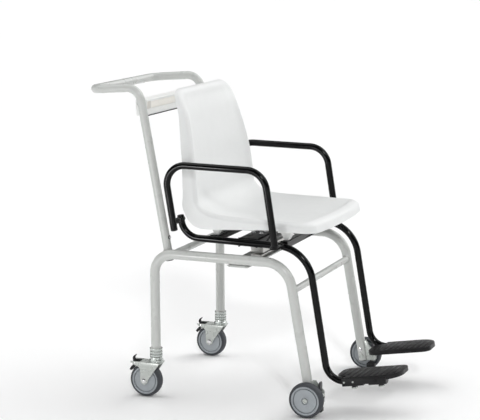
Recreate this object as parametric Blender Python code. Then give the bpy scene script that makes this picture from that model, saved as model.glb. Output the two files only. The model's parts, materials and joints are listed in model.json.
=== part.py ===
"""Digital chair scale: wheeled tube frame with push handle, weighing seat with
lift-up armrests, folding footplates, braked castors and a read-out between the
handle posts.  Measurements are in millimetres; +Z up, the chair faces -Y,
+X is the sitter's left.  Every node is one closed solid."""

import math

import bmesh
import bpy
from mathutils import Matrix, Vector

for old in list(bpy.data.objects):
    bpy.data.objects.remove(old, do_unlink=True)

# ----------------------------------------------------------------- dimensions
MM = 0.001
Y_SHIFT = 50.9            # measured Y -> Y about the middle of the footprint
GAP = 0.3                 # play between pieces that touch

FRAME_X = 239.0           # plane of each side frame
FRAME_R = 14.0
REAR_LEG_Y = 200.0
REAR_LEG_END = 148.0
RAIL_Z = 427.5
LEG_SLOPE = 0.1774
FRONT_LEG_END = 36.0

FRONT_R = 50.0
FRONT_WHEEL_Y = -275.6
FRONT_WHEEL_X = 269.0
REAR_R = 49.0
REAR_WHEEL_Y = 231.5
TYRE_HALF = 15.0

HANDLE_X = 212.0
HANDLE_R = 12.4
HANDLE_BAR_Y = 410.5

SEAT_RAIL_X = 202.0
SEAT_RAIL_R = 10.0
PIVOT_Y, PIVOT_Z = 132.0, 525.0
ARM_X = 258.4
ARM_R = 10.0

STUB_CORNER = (-316.7, 87.8)
STUB_SLOPE = 0.167
STUB_LENGTH = 170.0
PLATE_TOP = 11.4          # top of the footplate above the stub axis
PLATE_THICK = 13.0

SHELL_WALL = 5.0

HOUSING_X = 199.2
HOUSING_Z = (817.0, 864.0)
HOUSING_FRONT = 236.0
HOUSING_SPLIT = 268.0
HOUSING_REAR = 272.0

SIDES = (("right", -1.0), ("left", 1.0))


# ------------------------------------------------------------------ materials
def material(name, colour, roughness, metallic=0.0):
    mat = bpy.data.materials.new(name)
    mat.use_nodes = True
    shader = mat.node_tree.nodes["Principled BSDF"]
    shader.inputs["Base Color"].default_value = (*colour, 1.0)
    shader.inputs["Roughness"].default_value = roughness
    shader.inputs["Metallic"].default_value = metallic
    return mat


COLOURS = {
    "frame_paint": ((0.58, 0.60, 0.57), 0.35, 0.0),
    "black_paint": ((0.012, 0.012, 0.012), 0.22, 0.0),
    "shell_plastic": ((0.80, 0.81, 0.80), 0.42, 0.0),
    "plate_plastic": ((0.045, 0.044, 0.046), 0.6, 0.0),
    "housing_plastic": ((0.70, 0.70, 0.68), 0.45, 0.0),
    "tyre_rubber": ((0.06, 0.065, 0.075), 0.75, 0.0),
    "hub_plastic": ((0.33, 0.36, 0.40), 0.5, 0.0),
    "zinc_steel": ((0.62, 0.64, 0.64), 0.35, 0.9),
    "cell_aluminium": ((0.75, 0.73, 0.72), 0.4, 0.9),
    "brake_plastic": ((0.02, 0.02, 0.022), 0.5, 0.0),
    "lcd_glass": ((0.32, 0.36, 0.30), 0.15, 0.0),
    "button_plastic": ((0.12, 0.20, 0.32), 0.45, 0.0),
    "board_green": ((0.03, 0.16, 0.08), 0.5, 0.0),
    "battery_wrap": ((0.10, 0.12, 0.30), 0.5, 0.0),
}


# ------------------------------------------------------------------- geometry
def fillet(points, radii, turn=18.0):
    """Polyline through points with each inner corner rounded."""
    pts = [Vector(p) for p in points]
    out = [pts[0]]
    for i in range(1, len(pts) - 1):
        a, b, c = pts[i - 1], pts[i], pts[i + 1]
        r = radii[i - 1]
        u, w = (a - b).normalized(), (c - b).normalized()
        half = u.angle(w) / 2
        centre = b + (u + w).normalized() * (r / math.sin(half))
        start = b + u * (r / math.tan(half)) - centre
        end = b + w * (r / math.tan(half)) - centre
        angle = start.angle(end)
        axis = start.cross(end).normalized()
        steps = max(2, math.ceil(math.degrees(angle) / turn))
        for k in range(steps + 1):
            out.append(centre + Matrix.Rotation(angle * k / steps, 3, axis) @ start)
    out.append(pts[-1])
    return out


def rounded(points, radii, turn=22.5):
    """Closed 2-D outline with rounded corners."""
    out = []
    n = len(points)
    for i in range(n):
        a, b, c = (Vector(points[(i + k) % n]) for k in (-1, 0, 1))
        r = radii[i]
        if r <= 0:
            out.append(b)
            continue
        u, w = (a - b).normalized(), (c - b).normalized()
        half = u.angle(w) / 2
        centre = b + (u + w).normalized() * (r / math.sin(half))
        start = b + u * (r / math.tan(half)) - centre
        end = b + w * (r / math.tan(half)) - centre
        a0 = math.atan2(start.y, start.x)
        swing = math.atan2(end.y, end.x) - a0
        swing = (swing + math.pi) % (2 * math.pi) - math.pi
        steps = max(1, math.ceil(math.degrees(abs(swing)) / turn))
        for k in range(steps + 1):
            t = a0 + swing * k / steps
            out.append(centre + Vector((math.cos(t), math.sin(t))) * r)
    return out


def tube_mesh(path, radius, sides=12):
    bm = bmesh.new()
    pts = [Vector(p) for p in path]
    n = len(pts)
    rings = []
    side = None
    for i, p in enumerate(pts):
        before = (p - pts[i - 1]).normalized() if i else None
        after = (pts[i + 1] - p).normalized() if i < n - 1 else None
        tangent = (before + after).normalized() if before and after else (before or after)
        if side is None:
            base = Vector((1, 0, 0)) if abs(tangent.x) < 0.9 else Vector((0, 1, 0))
            side = (base - tangent * base.dot(tangent)).normalized()
        else:
            side = (side - tangent * side.dot(tangent)).normalized()
        up = tangent.cross(side)
        rings.append([
            bm.verts.new(p + side * (radius * math.cos(t)) + up * (radius * math.sin(t)))
            for t in (2 * math.pi * k / sides for k in range(sides))
        ])
    for a, b in zip(rings, rings[1:]):
        for k in range(sides):
            m = (k + 1) % sides
            bm.faces.new((a[k], a[m], b[m], b[k]))
    bm.faces.new(rings[0][::-1])
    bm.faces.new(rings[-1])
    return bm


def prism_mesh(outline, direction):
    """outline: 3-D points of a flat polygon, extruded by direction."""
    bm = bmesh.new()
    low = [bm.verts.new(Vector(p)) for p in outline]
    high = [bm.verts.new(Vector(p) + Vector(direction)) for p in outline]
    n = len(low)
    for k in range(n):
        m = (k + 1) % n
        bm.faces.new((low[k], low[m], high[m], high[k]))
    bm.faces.new(low[::-1])
    bm.faces.new(high)
    return bm


def box_mesh(x, y, z):
    return prism_mesh(
        [(x[0], y[0], z[0]), (x[1], y[0], z[0]), (x[1], y[1], z[0]), (x[0], y[1], z[0])],
        (0, 0, z[1] - z[0]))


def profile_x(outline, x0, x1):
    """(y, z) outline extruded along X."""
    return prism_mesh([(x0, p[0], p[1]) for p in outline], (x1 - x0, 0, 0))


def turned_mesh(origin, axis, profile, sides=16, phase=0.0):
    """Closed (radius, along) profile turned about axis; radius 0 closes a pole."""
    bm = bmesh.new()
    axis = Vector(axis).normalized()
    side = Vector((1, 0, 0)) if abs(axis.x) < 0.9 else Vector((0, 1, 0))
    side = (side - axis * side.dot(axis)).normalized()
    up = axis.cross(side)
    origin = Vector(origin)
    rings = []
    for r, a in profile:
        centre = origin + axis * a
        if r < 1e-6:
            rings.append([bm.verts.new(centre)])
        else:
            rings.append([
                bm.verts.new(centre + side * (r * math.cos(t)) + up * (r * math.sin(t)))
                for t in (2 * math.pi * (k + phase) / sides for k in range(sides))
            ])
    pairs = list(zip(rings, rings[1:] + rings[:1]))
    for a, b in pairs:
        if len(a) == 1 and len(b) == 1:
            continue
        for k in range(sides):
            m = (k + 1) % sides
            if len(a) == 1:
                bm.faces.new((a[0], b[m], b[k]))
            elif len(b) == 1:
                bm.faces.new((a[k], a[m], b[0]))
            else:
                bm.faces.new((a[k], a[m], b[m], b[k]))
    return bm


def rod_mesh(origin, axis, radius, start, end, sides=16):
    return turned_mesh(origin, axis, [(0, start), (radius, start), (radius, end), (0, end)], sides)


def solid(name, bm, slot=None, origin=(0, 0, 0)):
    """Object from a millimetre bmesh; origin is where its joint axis passes."""
    origin = Vector(origin)
    bmesh.ops.recalc_face_normals(bm, faces=bm.faces)
    for v in bm.verts:
        v.co = (v.co - origin) * MM
    mesh = bpy.data.meshes.new(name)
    bm.to_mesh(mesh)
    bm.free()
    obj = bpy.data.objects.new(name, mesh)
    obj.location = (origin + Vector((0, Y_SHIFT, 0))) * MM
    bpy.context.scene.collection.objects.link(obj)
    if slot:
        finish(obj, slot)
    return obj


def finish(obj, slot):
    mat = bpy.data.materials.get(slot) or material(slot, *COLOURS[slot])
    mesh = obj.data
    mesh.materials.clear()
    mesh.materials.append(mat)
    for poly in mesh.polygons:
        poly.material_index = 0
    mesh.shade_smooth()
    mesh.set_sharp_from_angle(angle=math.radians(38))


def combine(obj, other, operation):
    """Boolean obj with other, which is used up."""
    mod = obj.modifiers.new(operation.lower(), "BOOLEAN")
    mod.operation = operation
    mod.object = other
    mod.solver = "EXACT"
    bpy.context.view_layer.update()
    graph = bpy.context.evaluated_depsgraph_get()
    mesh = bpy.data.meshes.new_from_object(obj.evaluated_get(graph))
    obj.modifiers.clear()
    before = obj.data
    obj.data = mesh
    mesh.name = obj.name
    bpy.data.meshes.remove(before)
    bpy.data.objects.remove(other, do_unlink=True)
    return obj


def union(name, slot, meshes, cuts=(), origin=(0, 0, 0)):
    obj = solid(name, meshes[0], origin=origin)
    for bm in meshes[1:]:
        combine(obj, solid(name + "_add", bm), "UNION")
    for bm in cuts:
        combine(obj, solid(name + "_cut", bm), "DIFFERENCE")
    finish(obj, slot)
    return obj


def leg_y(z):
    return -240.1 + LEG_SLOPE * (z - 250.0)


# ---------------------------------------------------------------- side frames
def side_frame_path(x, low=0.0):
    return fillet(
        [(x, REAR_LEG_Y, REAR_LEG_END - low), (x, REAR_LEG_Y, 428.1),
         (x, -208.9, 426.8), (x, leg_y(FRONT_LEG_END - low), FRONT_LEG_END - low)],
        [58, 80])


for side, s in SIDES:
    x = s * FRAME_X
    union("side_frame_" + side, "frame_paint",
          [tube_mesh(side_frame_path(x), FRAME_R, 12)],
          [rod_mesh((x, REAR_LEG_Y, 0), (0, 0, 1), 6.4, 140, 192, 12),
           rod_mesh((x, FRONT_WHEEL_Y, FRONT_R), (1, 0, 0), 4.3, -20, 20, 12)])

# ---------------------------------------------------------------- push handle
post_foot = (209.4 + 0.182 * (405 - 650), 405.0)
handle_path = fillet(
    [(-HANDLE_X, *post_foot), (-HANDLE_X, 254.9, 900.5), (-HANDLE_X, HANDLE_BAR_Y, 889.4),
     (HANDLE_X, HANDLE_BAR_Y, 889.4), (HANDLE_X, 254.9, 900.5), (HANDLE_X, *post_foot)],
    [45, 42, 42, 45])
solid("push_handle", tube_mesh(handle_path, HANDLE_R, 12), "frame_paint")

# ---------------------------------------------------------------- cross tubes
frame_cuts = [tube_mesh(side_frame_path(s * FRAME_X, 20), FRAME_R + GAP + 0.1, 12) for _, s in SIDES]
union("rear_cross_tube", "frame_paint",
      [rod_mesh((0, 145.5, 427), (1, 0, 0), 10, -234, 234, 12)],
      [bm.copy() for bm in frame_cuts])
union("front_cross_bar", "frame_paint",
      [rod_mesh((0, -222.5, 349.5), (1, 0, 0), 9.75, -234, 234, 12)],
      [bm.copy() for bm in frame_cuts])
for bm in frame_cuts:
    bm.free()

# ---------------------------------------------------- channel under the rails
solid("base_channel", profile_x(
    [(-20, 412.8), (-20, 410), (-29, 404), (-86, 404), (-95, 410), (-95, 412.8),
     (-92, 412.8), (-92, 411.4), (-84.8, 407), (-30.2, 407), (-23, 411.4), (-23, 412.8)],
    -FRAME_X, FRAME_X), "frame_paint")

# ------------------------------------------------------------------ load cell
solid("cell_foot_plate", box_mesh((-118, 118), (-83, -50), (407.3, 419.7)), "cell_aluminium")
union("load_cell", "cell_aluminium",
      [prism_mesh([(-118, -87, 425), (62, -87, 425), (62, -87, 420), (118, -87, 420),
                   (118, -87, 440), (-118, -87, 440)], (0, 37, 0))],
      [rod_mesh((-14, -68, 432.5), (0, 1, 0), 5, -25, 25, 12),
       rod_mesh((14, -68, 432.5), (0, 1, 0), 5, -25, 25, 12),
       box_mesh((-14, 14), (-95, -40), (431, 434))])
bolt_spots = [(bx, by) for bx in (-110, -77) for by in (-79, -54)]
union("cell_head_plate", "cell_aluminium",
      [box_mesh((-122, -64), (-88, -50), (440.3, 476.6))]
      + [rod_mesh((bx, by, 0), (0, 0, 1), 3, 470, 481, 10) for bx, by in bolt_spots]
      + [turned_mesh((bx, by, 0), (0, 0, 1), [(0, 480.3), (6, 480.3), (6, 483.5), (4.5, 484.6), (0, 484.6)], 6)
         for bx, by in bolt_spots])
union("top_channel", "black_paint",
      [profile_x([(-98, 455), (-98, 480), (-42, 480), (-42, 455), (-45, 455), (-45, 477),
                  (-95, 477), (-95, 455)], -191.5, 191.5)],
      [rod_mesh((bx, by, 0), (0, 0, 1), 3.4, 470, 490, 10) for bx, by in bolt_spots])

# ----------------------------------------------------------------- seat rails
stub_dir = Vector((0, -1, STUB_SLOPE)).normalized()
stub_up = Vector((0, STUB_SLOPE, 1)).normalized()


def stub_point(x, s, h):
    return Vector((x, STUB_CORNER[0], STUB_CORNER[1])) + stub_dir * s + stub_up * h


def seat_rail_path(x):
    end = stub_point(x, STUB_LENGTH, 0)
    return fillet(
        [(x, PIVOT_Y + 1.8, PIVOT_Z + 11), (x, 123.2, 473.8), (x, -253.7, 466.0),
         (x, *STUB_CORNER), tuple(end)], [56, 105, 52], 15)


for side, s in SIDES:
    x = s * SEAT_RAIL_X
    pivot = (0, PIVOT_Y, PIVOT_Z)
    union("seat_rail_" + side, "black_paint",
          [tube_mesh(seat_rail_path(x), SEAT_RAIL_R, 12)],
          [rod_mesh((x, PIVOT_Y, PIVOT_Z), (1, 0, 0), 5.4, -15, 15, 12)])
    solid("armrest_pivot_" + side, turned_mesh(pivot, (s, 0, 0), [
        (5.4, 212.4), (8.5, 212.4), (8.5, 246), (7, 247.8), (5.4, 247.8)], 14), "black_paint")
    union("armrest_stop_" + side, "black_paint",
          [prism_mesh([(s * px, py, 467.5) for px, py in rounded(
              [(206, -188), (270, -188), (270, -164), (206, -164)], [0, 8, 8, 0])], (0, 0, 8.4))],
          [tube_mesh(seat_rail_path(x), SEAT_RAIL_R + GAP + 0.1, 12)])

# ----------------------------------------------------------------- seat shell
# Half outline from the top centre to the front centre: edge point, rear edge
# of the flange, direction into the face, size of the rounding.
def back_y(z):
    return 123.0 + 0.449 * (z - 838.0)


def shell_controls():
    """Rows of edge point, rear edge point and step from the edge into the face."""
    rows = []
    for x in (0.0, 50.0, 100.0, 132.0):
        rows.append(((x, back_y(893), 893), (x, 162, 894.5), (0, -4.5, -9)))
    for a in (82, 60, 45, 30, 8):
        c, t = math.cos(math.radians(a)), math.sin(math.radians(a))
        x, z = 145 + 46 * c, 848 + 45 * t
        rows.append(((x, back_y(z), z), (x + 0.5 * c, back_y(z) + 14 + 6 * (1 - t), z + 6 * (1 - t) + 1.5),
                     (-11 * c, -4 * t - 1.5 * c, -9 * t)))
    for x, r, f in (
            (195.5, (117, 820), (139.5, 826)), (202, (106.5, 782), (133, 782)),
            (212, (96, 735), (126, 737)), (219, (89, 696), (120, 697)),
            (223, (84.5, 660), (117.3, 652)), (226, (80.5, 624), (115, 610)),
            (227, (78, 600), (115, 588)), (227, (75, 581), (116, 567)),
            (227, (62, 563), (108, 545)), (227, (40, 549.5), (93, 523)),
            (227, (14, 542), (62, 506)), (227, (-32, 539), (-10, 507.5)),
            (227, (-93, 537.5), (-90, 512)), (227, (-148, 536.5), (-147, 514.5)),
            (227, (-195, 535), (-195, 513.5))):
        back = min(max((r[1] - 545) / 60.0, 0.0), 1.0)
        rows.append(((x, *r), (x, *f), (-15, -3.5 * back, 5.5 * (1 - back))))
    for a, rim in ((12, 2), (32, 3), (50, 4), (70, 5), (88, 5)):
        c, t = math.cos(math.radians(a)), math.sin(math.radians(a))
        x, y = 181 + 46 * c, -222 - 53 * t
        rows.append(((x, y, 534.5 + 1.5 * t), (181 + 46 * c, y - rim * t, 512.5 - 3 * t),
                     (-15 * c, 19 * t, 5.5)))
    for x in (130.0, 90.0, 45.0, 0.0):
        rows.append(((x, -285 + x * x / 3000.0, 536), (x, -290.5 + x * x / 3000.0, 509), (0, 20, 5)))
    return rows


def catmull(points, t):
    """Point at t in 0..len-1 on a smooth curve through the points."""
    n = len(points)
    i = min(int(t), n - 2)
    f = t - i
    p0, p1, p2, p3 = (points[min(max(k, 0), n - 1)] for k in (i - 1, i, i + 1, i + 2))
    return [0.5 * ((2 * b) + (c - a) * f + (2 * a - 5 * b + 4 * c - d) * f * f
                   + (3 * b - a - 3 * c + d) * f ** 3) for a, b, c, d in zip(p0, p1, p2, p3)]


def shell_face(columns, rows, lift=0.0, extra=0.0):
    """Grid of the shell's sitting face with its rounded edge and flange.
    lift moves it along its normal.  Returns a bmesh of the open surface."""
    ctrl = shell_controls()
    keys = [[*k, *q, *d] for k, q, d in ctrl]
    corner_top, corner_front = 6, 26        # middle of each corner arc
    last = len(keys) - 1

    def sample(t0, t1, count):
        """Evenly spaced along the edge between two curve parameters."""
        dense = [t0 + (t1 - t0) * k / 400 for k in range(401)]
        pts = [Vector(catmull(keys, t)[:3]) for t in dense]
        run = [0.0]
        for a, b in zip(pts, pts[1:]):
            run.append(run[-1] + (b - a).length)
        out, j = [], 0
        for k in range(count + 1):
            want = run[-1] * k / count
            while j < 399 and run[j + 1] < want:
                j += 1
            f = (want - run[j]) / max(run[j + 1] - run[j], 1e-9)
            out.append(dense[j] + (dense[j + 1] - dense[j]) * min(max(f, 0), 1))
        return out

    half = columns // 2
    top = sample(0.0, corner_top, half)
    flank = [corner_top + (corner_front - corner_top) * k / rows for k in range(rows + 1)]
    front = sample(last, corner_front, half)

    def rim(t, mirror):
        v = catmull(keys, t)
        k, q, d = Vector(v[:3]), Vector(v[3:6]), Vector(v[6:9])
        if mirror:
            for w in (k, q, d):
                w.x = -w.x
        p = k + d
        back = (q - k).normalized()
        turned = k + back * min(9.0, (q - k).length * 0.6)
        return p, k, turned, q + back * extra

    top_params = [(t, True) for t in reversed(top)] + [(t, False) for t in top[1:]]
    front_params = [(t, True) for t in reversed(front)] + [(t, False) for t in front[1:]]
    c_top = [rim(t, m)[0] for t, m in top_params]
    c_front = [rim(t, m)[0] for t, m in front_params]
    c_left = [rim(t, True)[0] for t in flank]
    c_right = [rim(t, False)[0] for t in flank]

    def dish(v):
        """Depth of the hollow against the share of the way down the shell."""
        knots = ((0.0, 0.0), (0.1, 6.0), (0.2, 15.0), (0.3, 21.0), (0.42, 23.0), (0.55, 21.0),
                 (0.68, 18.0), (0.8, 17.0), (0.87, 14.0), (0.93, 8.0), (1.0, 0.0))
        for (a, da), (b, db) in zip(knots, knots[1:]):
            if v <= b:
                f = (v - a) / (b - a)
                f = f * f * (3 - 2 * f) if da == 0.0 or db == 0.0 else f
                return da + (db - da) * f
        return 0.0

    bm = bmesh.new()
    grid = []
    for j in range(rows + 1):
        v = j / rows
        line = []
        a, b = c_right[max(j - 1, 0)], c_right[min(j + 1, rows)]
        along = Vector((0, b.y - a.y, b.z - a.z)).normalized()
        inward = Vector((0, -along.z, along.y))     # away from the sitter
        for i in range(columns + 1):
            u = i / columns
            coons = ((1 - v) * c_top[i] + v * c_front[i] + (1 - u) * c_left[j] + u * c_right[j]
                     - (1 - u) * (1 - v) * c_top[0] - u * (1 - v) * c_top[-1]
                     - (1 - u) * v * c_front[0] - u * v * c_front[-1])
            hollow = dish(v) * (1 - abs(2 * u - 1) ** 3.2)
            line.append(bm.verts.new(coons + inward * hollow))
        grid.append(line)
    for j in range(rows):
        for i in range(columns):
            bm.faces.new((grid[j][i], grid[j][i + 1], grid[j + 1][i + 1], grid[j + 1][i]))

    # closed loop round the face, then the rounding and the flange
    loop = [(grid[0][i], rim(*top_params[i])) for i in range(columns)]
    loop += [(grid[j][columns], rim(flank[j], False)) for j in range(rows)]
    loop += [(grid[rows][i], rim(*front_params[i])) for i in range(columns, 0, -1)]
    loop += [(grid[j][0], rim(flank[j], True)) for j in range(rows, 0, -1)]
    previous = [vert for vert, _ in loop]
    stages = ((0.33, None), (0.66, None), (1.0, None), (None, 1.0))
    for bend, out in stages:
        ring = []
        for _, (p, k, turned, q) in loop:
            if bend is not None:
                point = p * (1 - bend) ** 2 + k * (2 * bend * (1 - bend)) + turned * bend ** 2
            else:
                point = turned * (1 - out) + q * out
            ring.append(bm.verts.new(point))
        for m in range(len(ring)):
            n = (m + 1) % len(ring)
            bm.faces.new((previous[m], ring[m], ring[n], previous[n]))
        previous = ring
    bmesh.ops.recalc_face_normals(bm, faces=bm.faces)
    bm.normal_update()
    middle = grid[rows // 2][columns // 2]
    if middle.normal.z < 0:
        bmesh.ops.reverse_faces(bm, faces=bm.faces)
        bm.normal_update()
    if lift:
        moves = [(v, v.normal.copy()) for v in bm.verts]
        for v, n in moves:
            v.co = v.co + n * lift
    return bm


def thicken(bm, above, below):
    """Closed solid between the surface moved by above and by -below."""
    bm.normal_update()
    verts = list(bm.verts)
    faces = [[v.index for v in f.verts] for f in bm.faces]
    bm.verts.index_update()
    faces = [[v.index for v in f.verts] for f in bm.faces]
    edges = [(e.verts[0].index, e.verts[1].index, e.link_faces[0]) for e in bm.edges if len(e.link_faces) == 1]
    out = bmesh.new()
    top = [out.verts.new(v.co + v.normal * above) for v in verts]
    low = [out.verts.new(v.co - v.normal * below) for v in verts]
    for f in faces:
        out.faces.new([top[k] for k in f])
        out.faces.new([low[k] for k in reversed(f)])
    for a, b, face in edges:
        order = [v.index for v in face.verts]
        if order[(order.index(a) + 1) % len(order)] != b:
            a, b = b, a
        out.faces.new((top[b], top[a], low[a], low[b]))
    bm.free()
    return out


SHELL_COLUMNS, SHELL_ROWS = 12, 20
solid("seat_shell", thicken(shell_face(SHELL_COLUMNS, SHELL_ROWS), 0.0, SHELL_WALL), "shell_plastic")


def under_shell():
    """The shell and the space just above it, down to a little under its wall."""
    return thicken(shell_face(SHELL_COLUMNS, SHELL_ROWS, extra=3.0), 12.0, SHELL_WALL + GAP + 0.1)


# ------------------------------------------------- cross members and brackets
solid("rear_cross_member", profile_x(
    rounded([(24, 462), (24, 482), (46, 482), (46, 462)], [3, 3, 3, 3]), -191.5, 191.5), "black_paint")
solid("front_cross_member", profile_x(
    rounded([(-190, 459), (-190, 480), (-170, 480), (-170, 459)], [3, 3, 3, 3]), -191.5, 191.5), "black_paint")


def seat_bracket(name, slot, y0, y1, base, x_foot, x_bar):
    """Bar under the pan with a tapered foot near each end."""
    meshes = [box_mesh((-x_bar, x_bar), (y0 + 4, y1 - 4), (503, 536))]
    for _, s in SIDES:
        meshes.append(prism_mesh(
            [(s * (x_foot[0] + 6), y0 + 6, base), (s * (x_foot[1] - 6), y0 + 6, base),
             (s * x_foot[1], y0 + 6, 513), (s * x_foot[0], y0 + 6, 513)], (0, y1 - y0 - 12, 0)))
    return union(name, slot, meshes, [under_shell()])


seat_bracket("rear_seat_bracket", "housing_plastic", 8, 50, 482.3, (160, 190), 195)
seat_bracket("front_seat_bracket", "housing_plastic", -206, -158, 480.3, (150, 186), 195)

# ------------------------------------------------------------------- armrests
for side, s in SIDES:
    x = s * ARM_X
    low_rear = (x, 135.7 + 0.1646 * (506 - 550), 506)
    low_front = (x, -166.6 + 0.1562 * (478 - 550), 478)
    path = fillet([low_rear, (x, 158.9, 690.9), (x, -145.4, 685.7), low_front], [56, 60])
    union("armrest_" + side, "black_paint",
          [tube_mesh(path, ARM_R, 12),
           rod_mesh((0, PIVOT_Y, PIVOT_Z), (s, 0, 0), 5, 188, ARM_X, 12)],
          origin=(x, PIVOT_Y, PIVOT_Z))
    down = Vector((0, -0.1646, -1)).normalized()
    solid("armrest_cap_" + side, turned_mesh(
        low_rear, down, [(0, 0.3), (9.9, 0.3), (9.9, 2.4), (7.5, 5.2), (0, 6.6)], 12),
        "brake_plastic", origin=(x, PIVOT_Y, PIVOT_Z))

# ----------------------------------------------------------------- footplates
for side, s in SIDES:
    def plate_point(px, along, h):
        return stub_point(s * px, along, h)

    outline = rounded(
        [(98, 17), (98, 210.5), (211, 210.5), (211, 50), (188, 50), (188, 17)],
        [25, 22, 56, 0, 0, 32], turn=22.5)
    bottom = PLATE_TOP - PLATE_THICK
    plate = prism_mesh([plate_point(px, al, bottom) for px, al in outline],
                       stub_up * PLATE_THICK)
    axis_point = stub_point(s * SEAT_RAIL_X, 0, 0)
    barrel = rod_mesh(axis_point, stub_dir, 13.6, 44, 173, 16)
    bosses = [
        turned_mesh(stub_point(s * SEAT_RAIL_X, al, 0), -stub_up,
                    [(0, 11), (8, 11), (8, 18), (6.5, 21.5), (0, 21.5)], 12)
        for al in (76, 155)]
    union("footplate_" + side, "plate_plastic", [plate, barrel, *bosses],
          [rod_mesh(axis_point, stub_dir, SEAT_RAIL_R + GAP + 0.1, 30, 170.4, 16),
           rod_mesh(axis_point, stub_dir, 11.6, 30, 52, 16)],
          origin=tuple(axis_point))


# --------------------------------------------------------------------- wheels
def wheel(prefix, side, x, y, radius, outward):
    """Crowned tyre on a disc hub with a ring groove in each face."""
    centre = (x, y, radius)
    axis = (outward, 0, 0)
    half, k = TYRE_HALF, radius / 50.0
    crown = [(41.4, 14.4), (43.5, 15.0), (46.8, 12.5), (49.0, 8.0), (50.0, 3.0)]
    tread = [(r * k, -a) for r, a in crown] + [(r * k, a) for r, a in reversed(crown)]
    solid(prefix + "_tyre_" + side, turned_mesh(centre, axis, tread, 24), "tyre_rubber", origin=centre)
    face = half - 2.0
    groove = [(41.0, face), (36.6, face), (35.2, face - 2), (33.8, face)]
    inner = [(r * k, -a) for r, a in reversed(groove)]
    outer = [(r * k, a) for r, a in groove]
    solid(prefix + "_hub_" + side, turned_mesh(centre, axis, [
        (4.5, -half), (10, -half), (11, -face)] + inner + outer
        + [(10.5, face), (9, face - 3.4), (4.5, face - 3.4)], 24), "hub_plastic", origin=centre)


for side, s in SIDES:
    wheel("front", side, s * FRONT_WHEEL_X, FRONT_WHEEL_Y, FRONT_R, s)
    wheel("rear", side, s * FRAME_X, REAR_WHEEL_Y, REAR_R, s)
    union("front_axle_" + side, "zinc_steel",
          [turned_mesh((0, FRONT_WHEEL_Y, FRONT_R), (s, 0, 0), [
              (0, 219.5), (7.5, 219.5), (7.5, 224.6), (4, 224.6), (4, 279.0), (7, 279.0),
              (7, 282.4), (4, 283.6), (0, 283.6)], 12)])

# ------------------------------------------------------------- front brakes
for side, s in SIDES:
    back = [(leg_y(z) - 14.6, z) for z in (39, 98)]
    plate = [back[0], back[1], (-291, 98), (-299, 86), (-316, 70), (-316, 39)]
    web = [back[0], back[1], (back[1][0] - 2.5, 98), (back[0][0] - 2.5, 39)]
    pivot = (s * 239, -303, 54)
    union("brake_bracket_" + side, "zinc_steel",
          [profile_x(web, s * 229.3, s * 248.7),
           profile_x(plate, s * 229, s * 231.5),
           box_mesh(sorted((s * 229.3, s * 249)), (-316.2, -313.5), (39.3, 66))],
          [rod_mesh(pivot, (0, 1, 0), 3.3, -20, 20, 12)])
    union("front_brake_" + side, "brake_plastic",
          [box_mesh(sorted((s * 233.5, s * 247)), (-311, -297), (47, 61)),
           box_mesh(sorted((s * 233, s * 250)), (-309.2, -305.4), (55, 98)),
           box_mesh(sorted((s * 234, s * 246)), (-308.5, -299), (22, 50)),
           profile_x(rounded([(-314, 12), (-314, 27), (-289, 29), (-289, 12)], [3, 4, 4, 6], 45),
                     s * 233, s * 251.3),
           rod_mesh(pivot, (0, 1, 0), 3, -15, 11, 12)],
          origin=pivot)

# -------------------------------------------------------------- rear castors
for side, s in SIDES:
    cx = s * FRAME_X
    solid("caster_socket_" + side, turned_mesh((cx, REAR_LEG_Y, 0), (0, 0, 1), [
        (6.5, 122), (17, 122), (18.5, 124), (18.5, 129), (16.5, 131), (18.5, 133.5),
        (18.5, 138), (16.5, 140), (18.5, 142.5), (18.5, 147.7), (6.5, 147.7)], 16),
        "zinc_steel")
    lower = [(REAR_WHEEL_Y + 11.5 * math.cos(math.radians(a)), REAR_R + 11.5 * math.sin(math.radians(a)))
             for a in (-5, -40, -75, -110, -150, 170)]
    cheek = [(181, 105), (274, 105), (274, 101.5), (267, 96), (249, 90), (244, 84)] + lower
    brake_pivot = (260, 100)
    fork_cuts = [rod_mesh((cx, REAR_WHEEL_Y, REAR_R), (1, 0, 0), 4.3, -25, 25, 12),
                 rod_mesh((cx, *brake_pivot), (1, 0, 0), 2.3, -25, 25, 10)]
    union("caster_fork_" + side, "zinc_steel",
          [box_mesh((cx - 20, cx + 20), (181, 248), (102, 105)),
           profile_x(cheek, cx - 20, cx - 17.4), profile_x(cheek, cx + 17.4, cx + 20),
           turned_mesh((cx, REAR_LEG_Y, 0), (0, 0, 1), [
               (0, 104), (19, 104), (21, 107), (21, 113), (18, 116), (18, 121.6), (6, 121.6),
               (6, 190), (0, 190)], 16)],
          fork_cuts, origin=(cx, REAR_LEG_Y, 0))
    solid("rear_axle_" + side, turned_mesh((cx, REAR_WHEEL_Y, REAR_R), (1, 0, 0), [
        (0, -23), (5, -23), (7.5, -21.6), (7.5, -20.3), (4, -20.3), (4, 20.3), (7.5, 20.3),
        (7.5, 21.6), (5, 23), (0, 23)], 12), "zinc_steel", origin=(cx, REAR_WHEEL_Y, REAR_R))
    inner = [(REAR_WHEEL_Y + 51.5 * math.cos(math.radians(a)), REAR_R + 51.5 * math.sin(math.radians(a)))
             for a in (29, 37, 45, 54, 63)]
    outer = [(REAR_WHEEL_Y + 58 * math.cos(math.radians(a)), REAR_R + 58 * math.sin(math.radians(a)))
             for a in (54, 45, 37, 29)]
    shoe = inner + [(252, 99), (252, 105), (270, 105), (270, 100)] + outer
    hook = [(254, 101), (254, 107.6), (266, 107), (269.5, 109.5), (268.5, 114), (263.5, 119.5),
            (265, 121.5), (271, 117), (274.5, 111), (273.5, 105), (269, 101)]
    union("rear_brake_" + side, "brake_plastic",
          [profile_x(shoe, cx - 12, cx + 12), profile_x(hook, cx - 5, cx + 5),
           rod_mesh((cx, *brake_pivot), (1, 0, 0), 2, -19.8, 19.8, 10)],
          origin=(cx, *brake_pivot))

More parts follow.
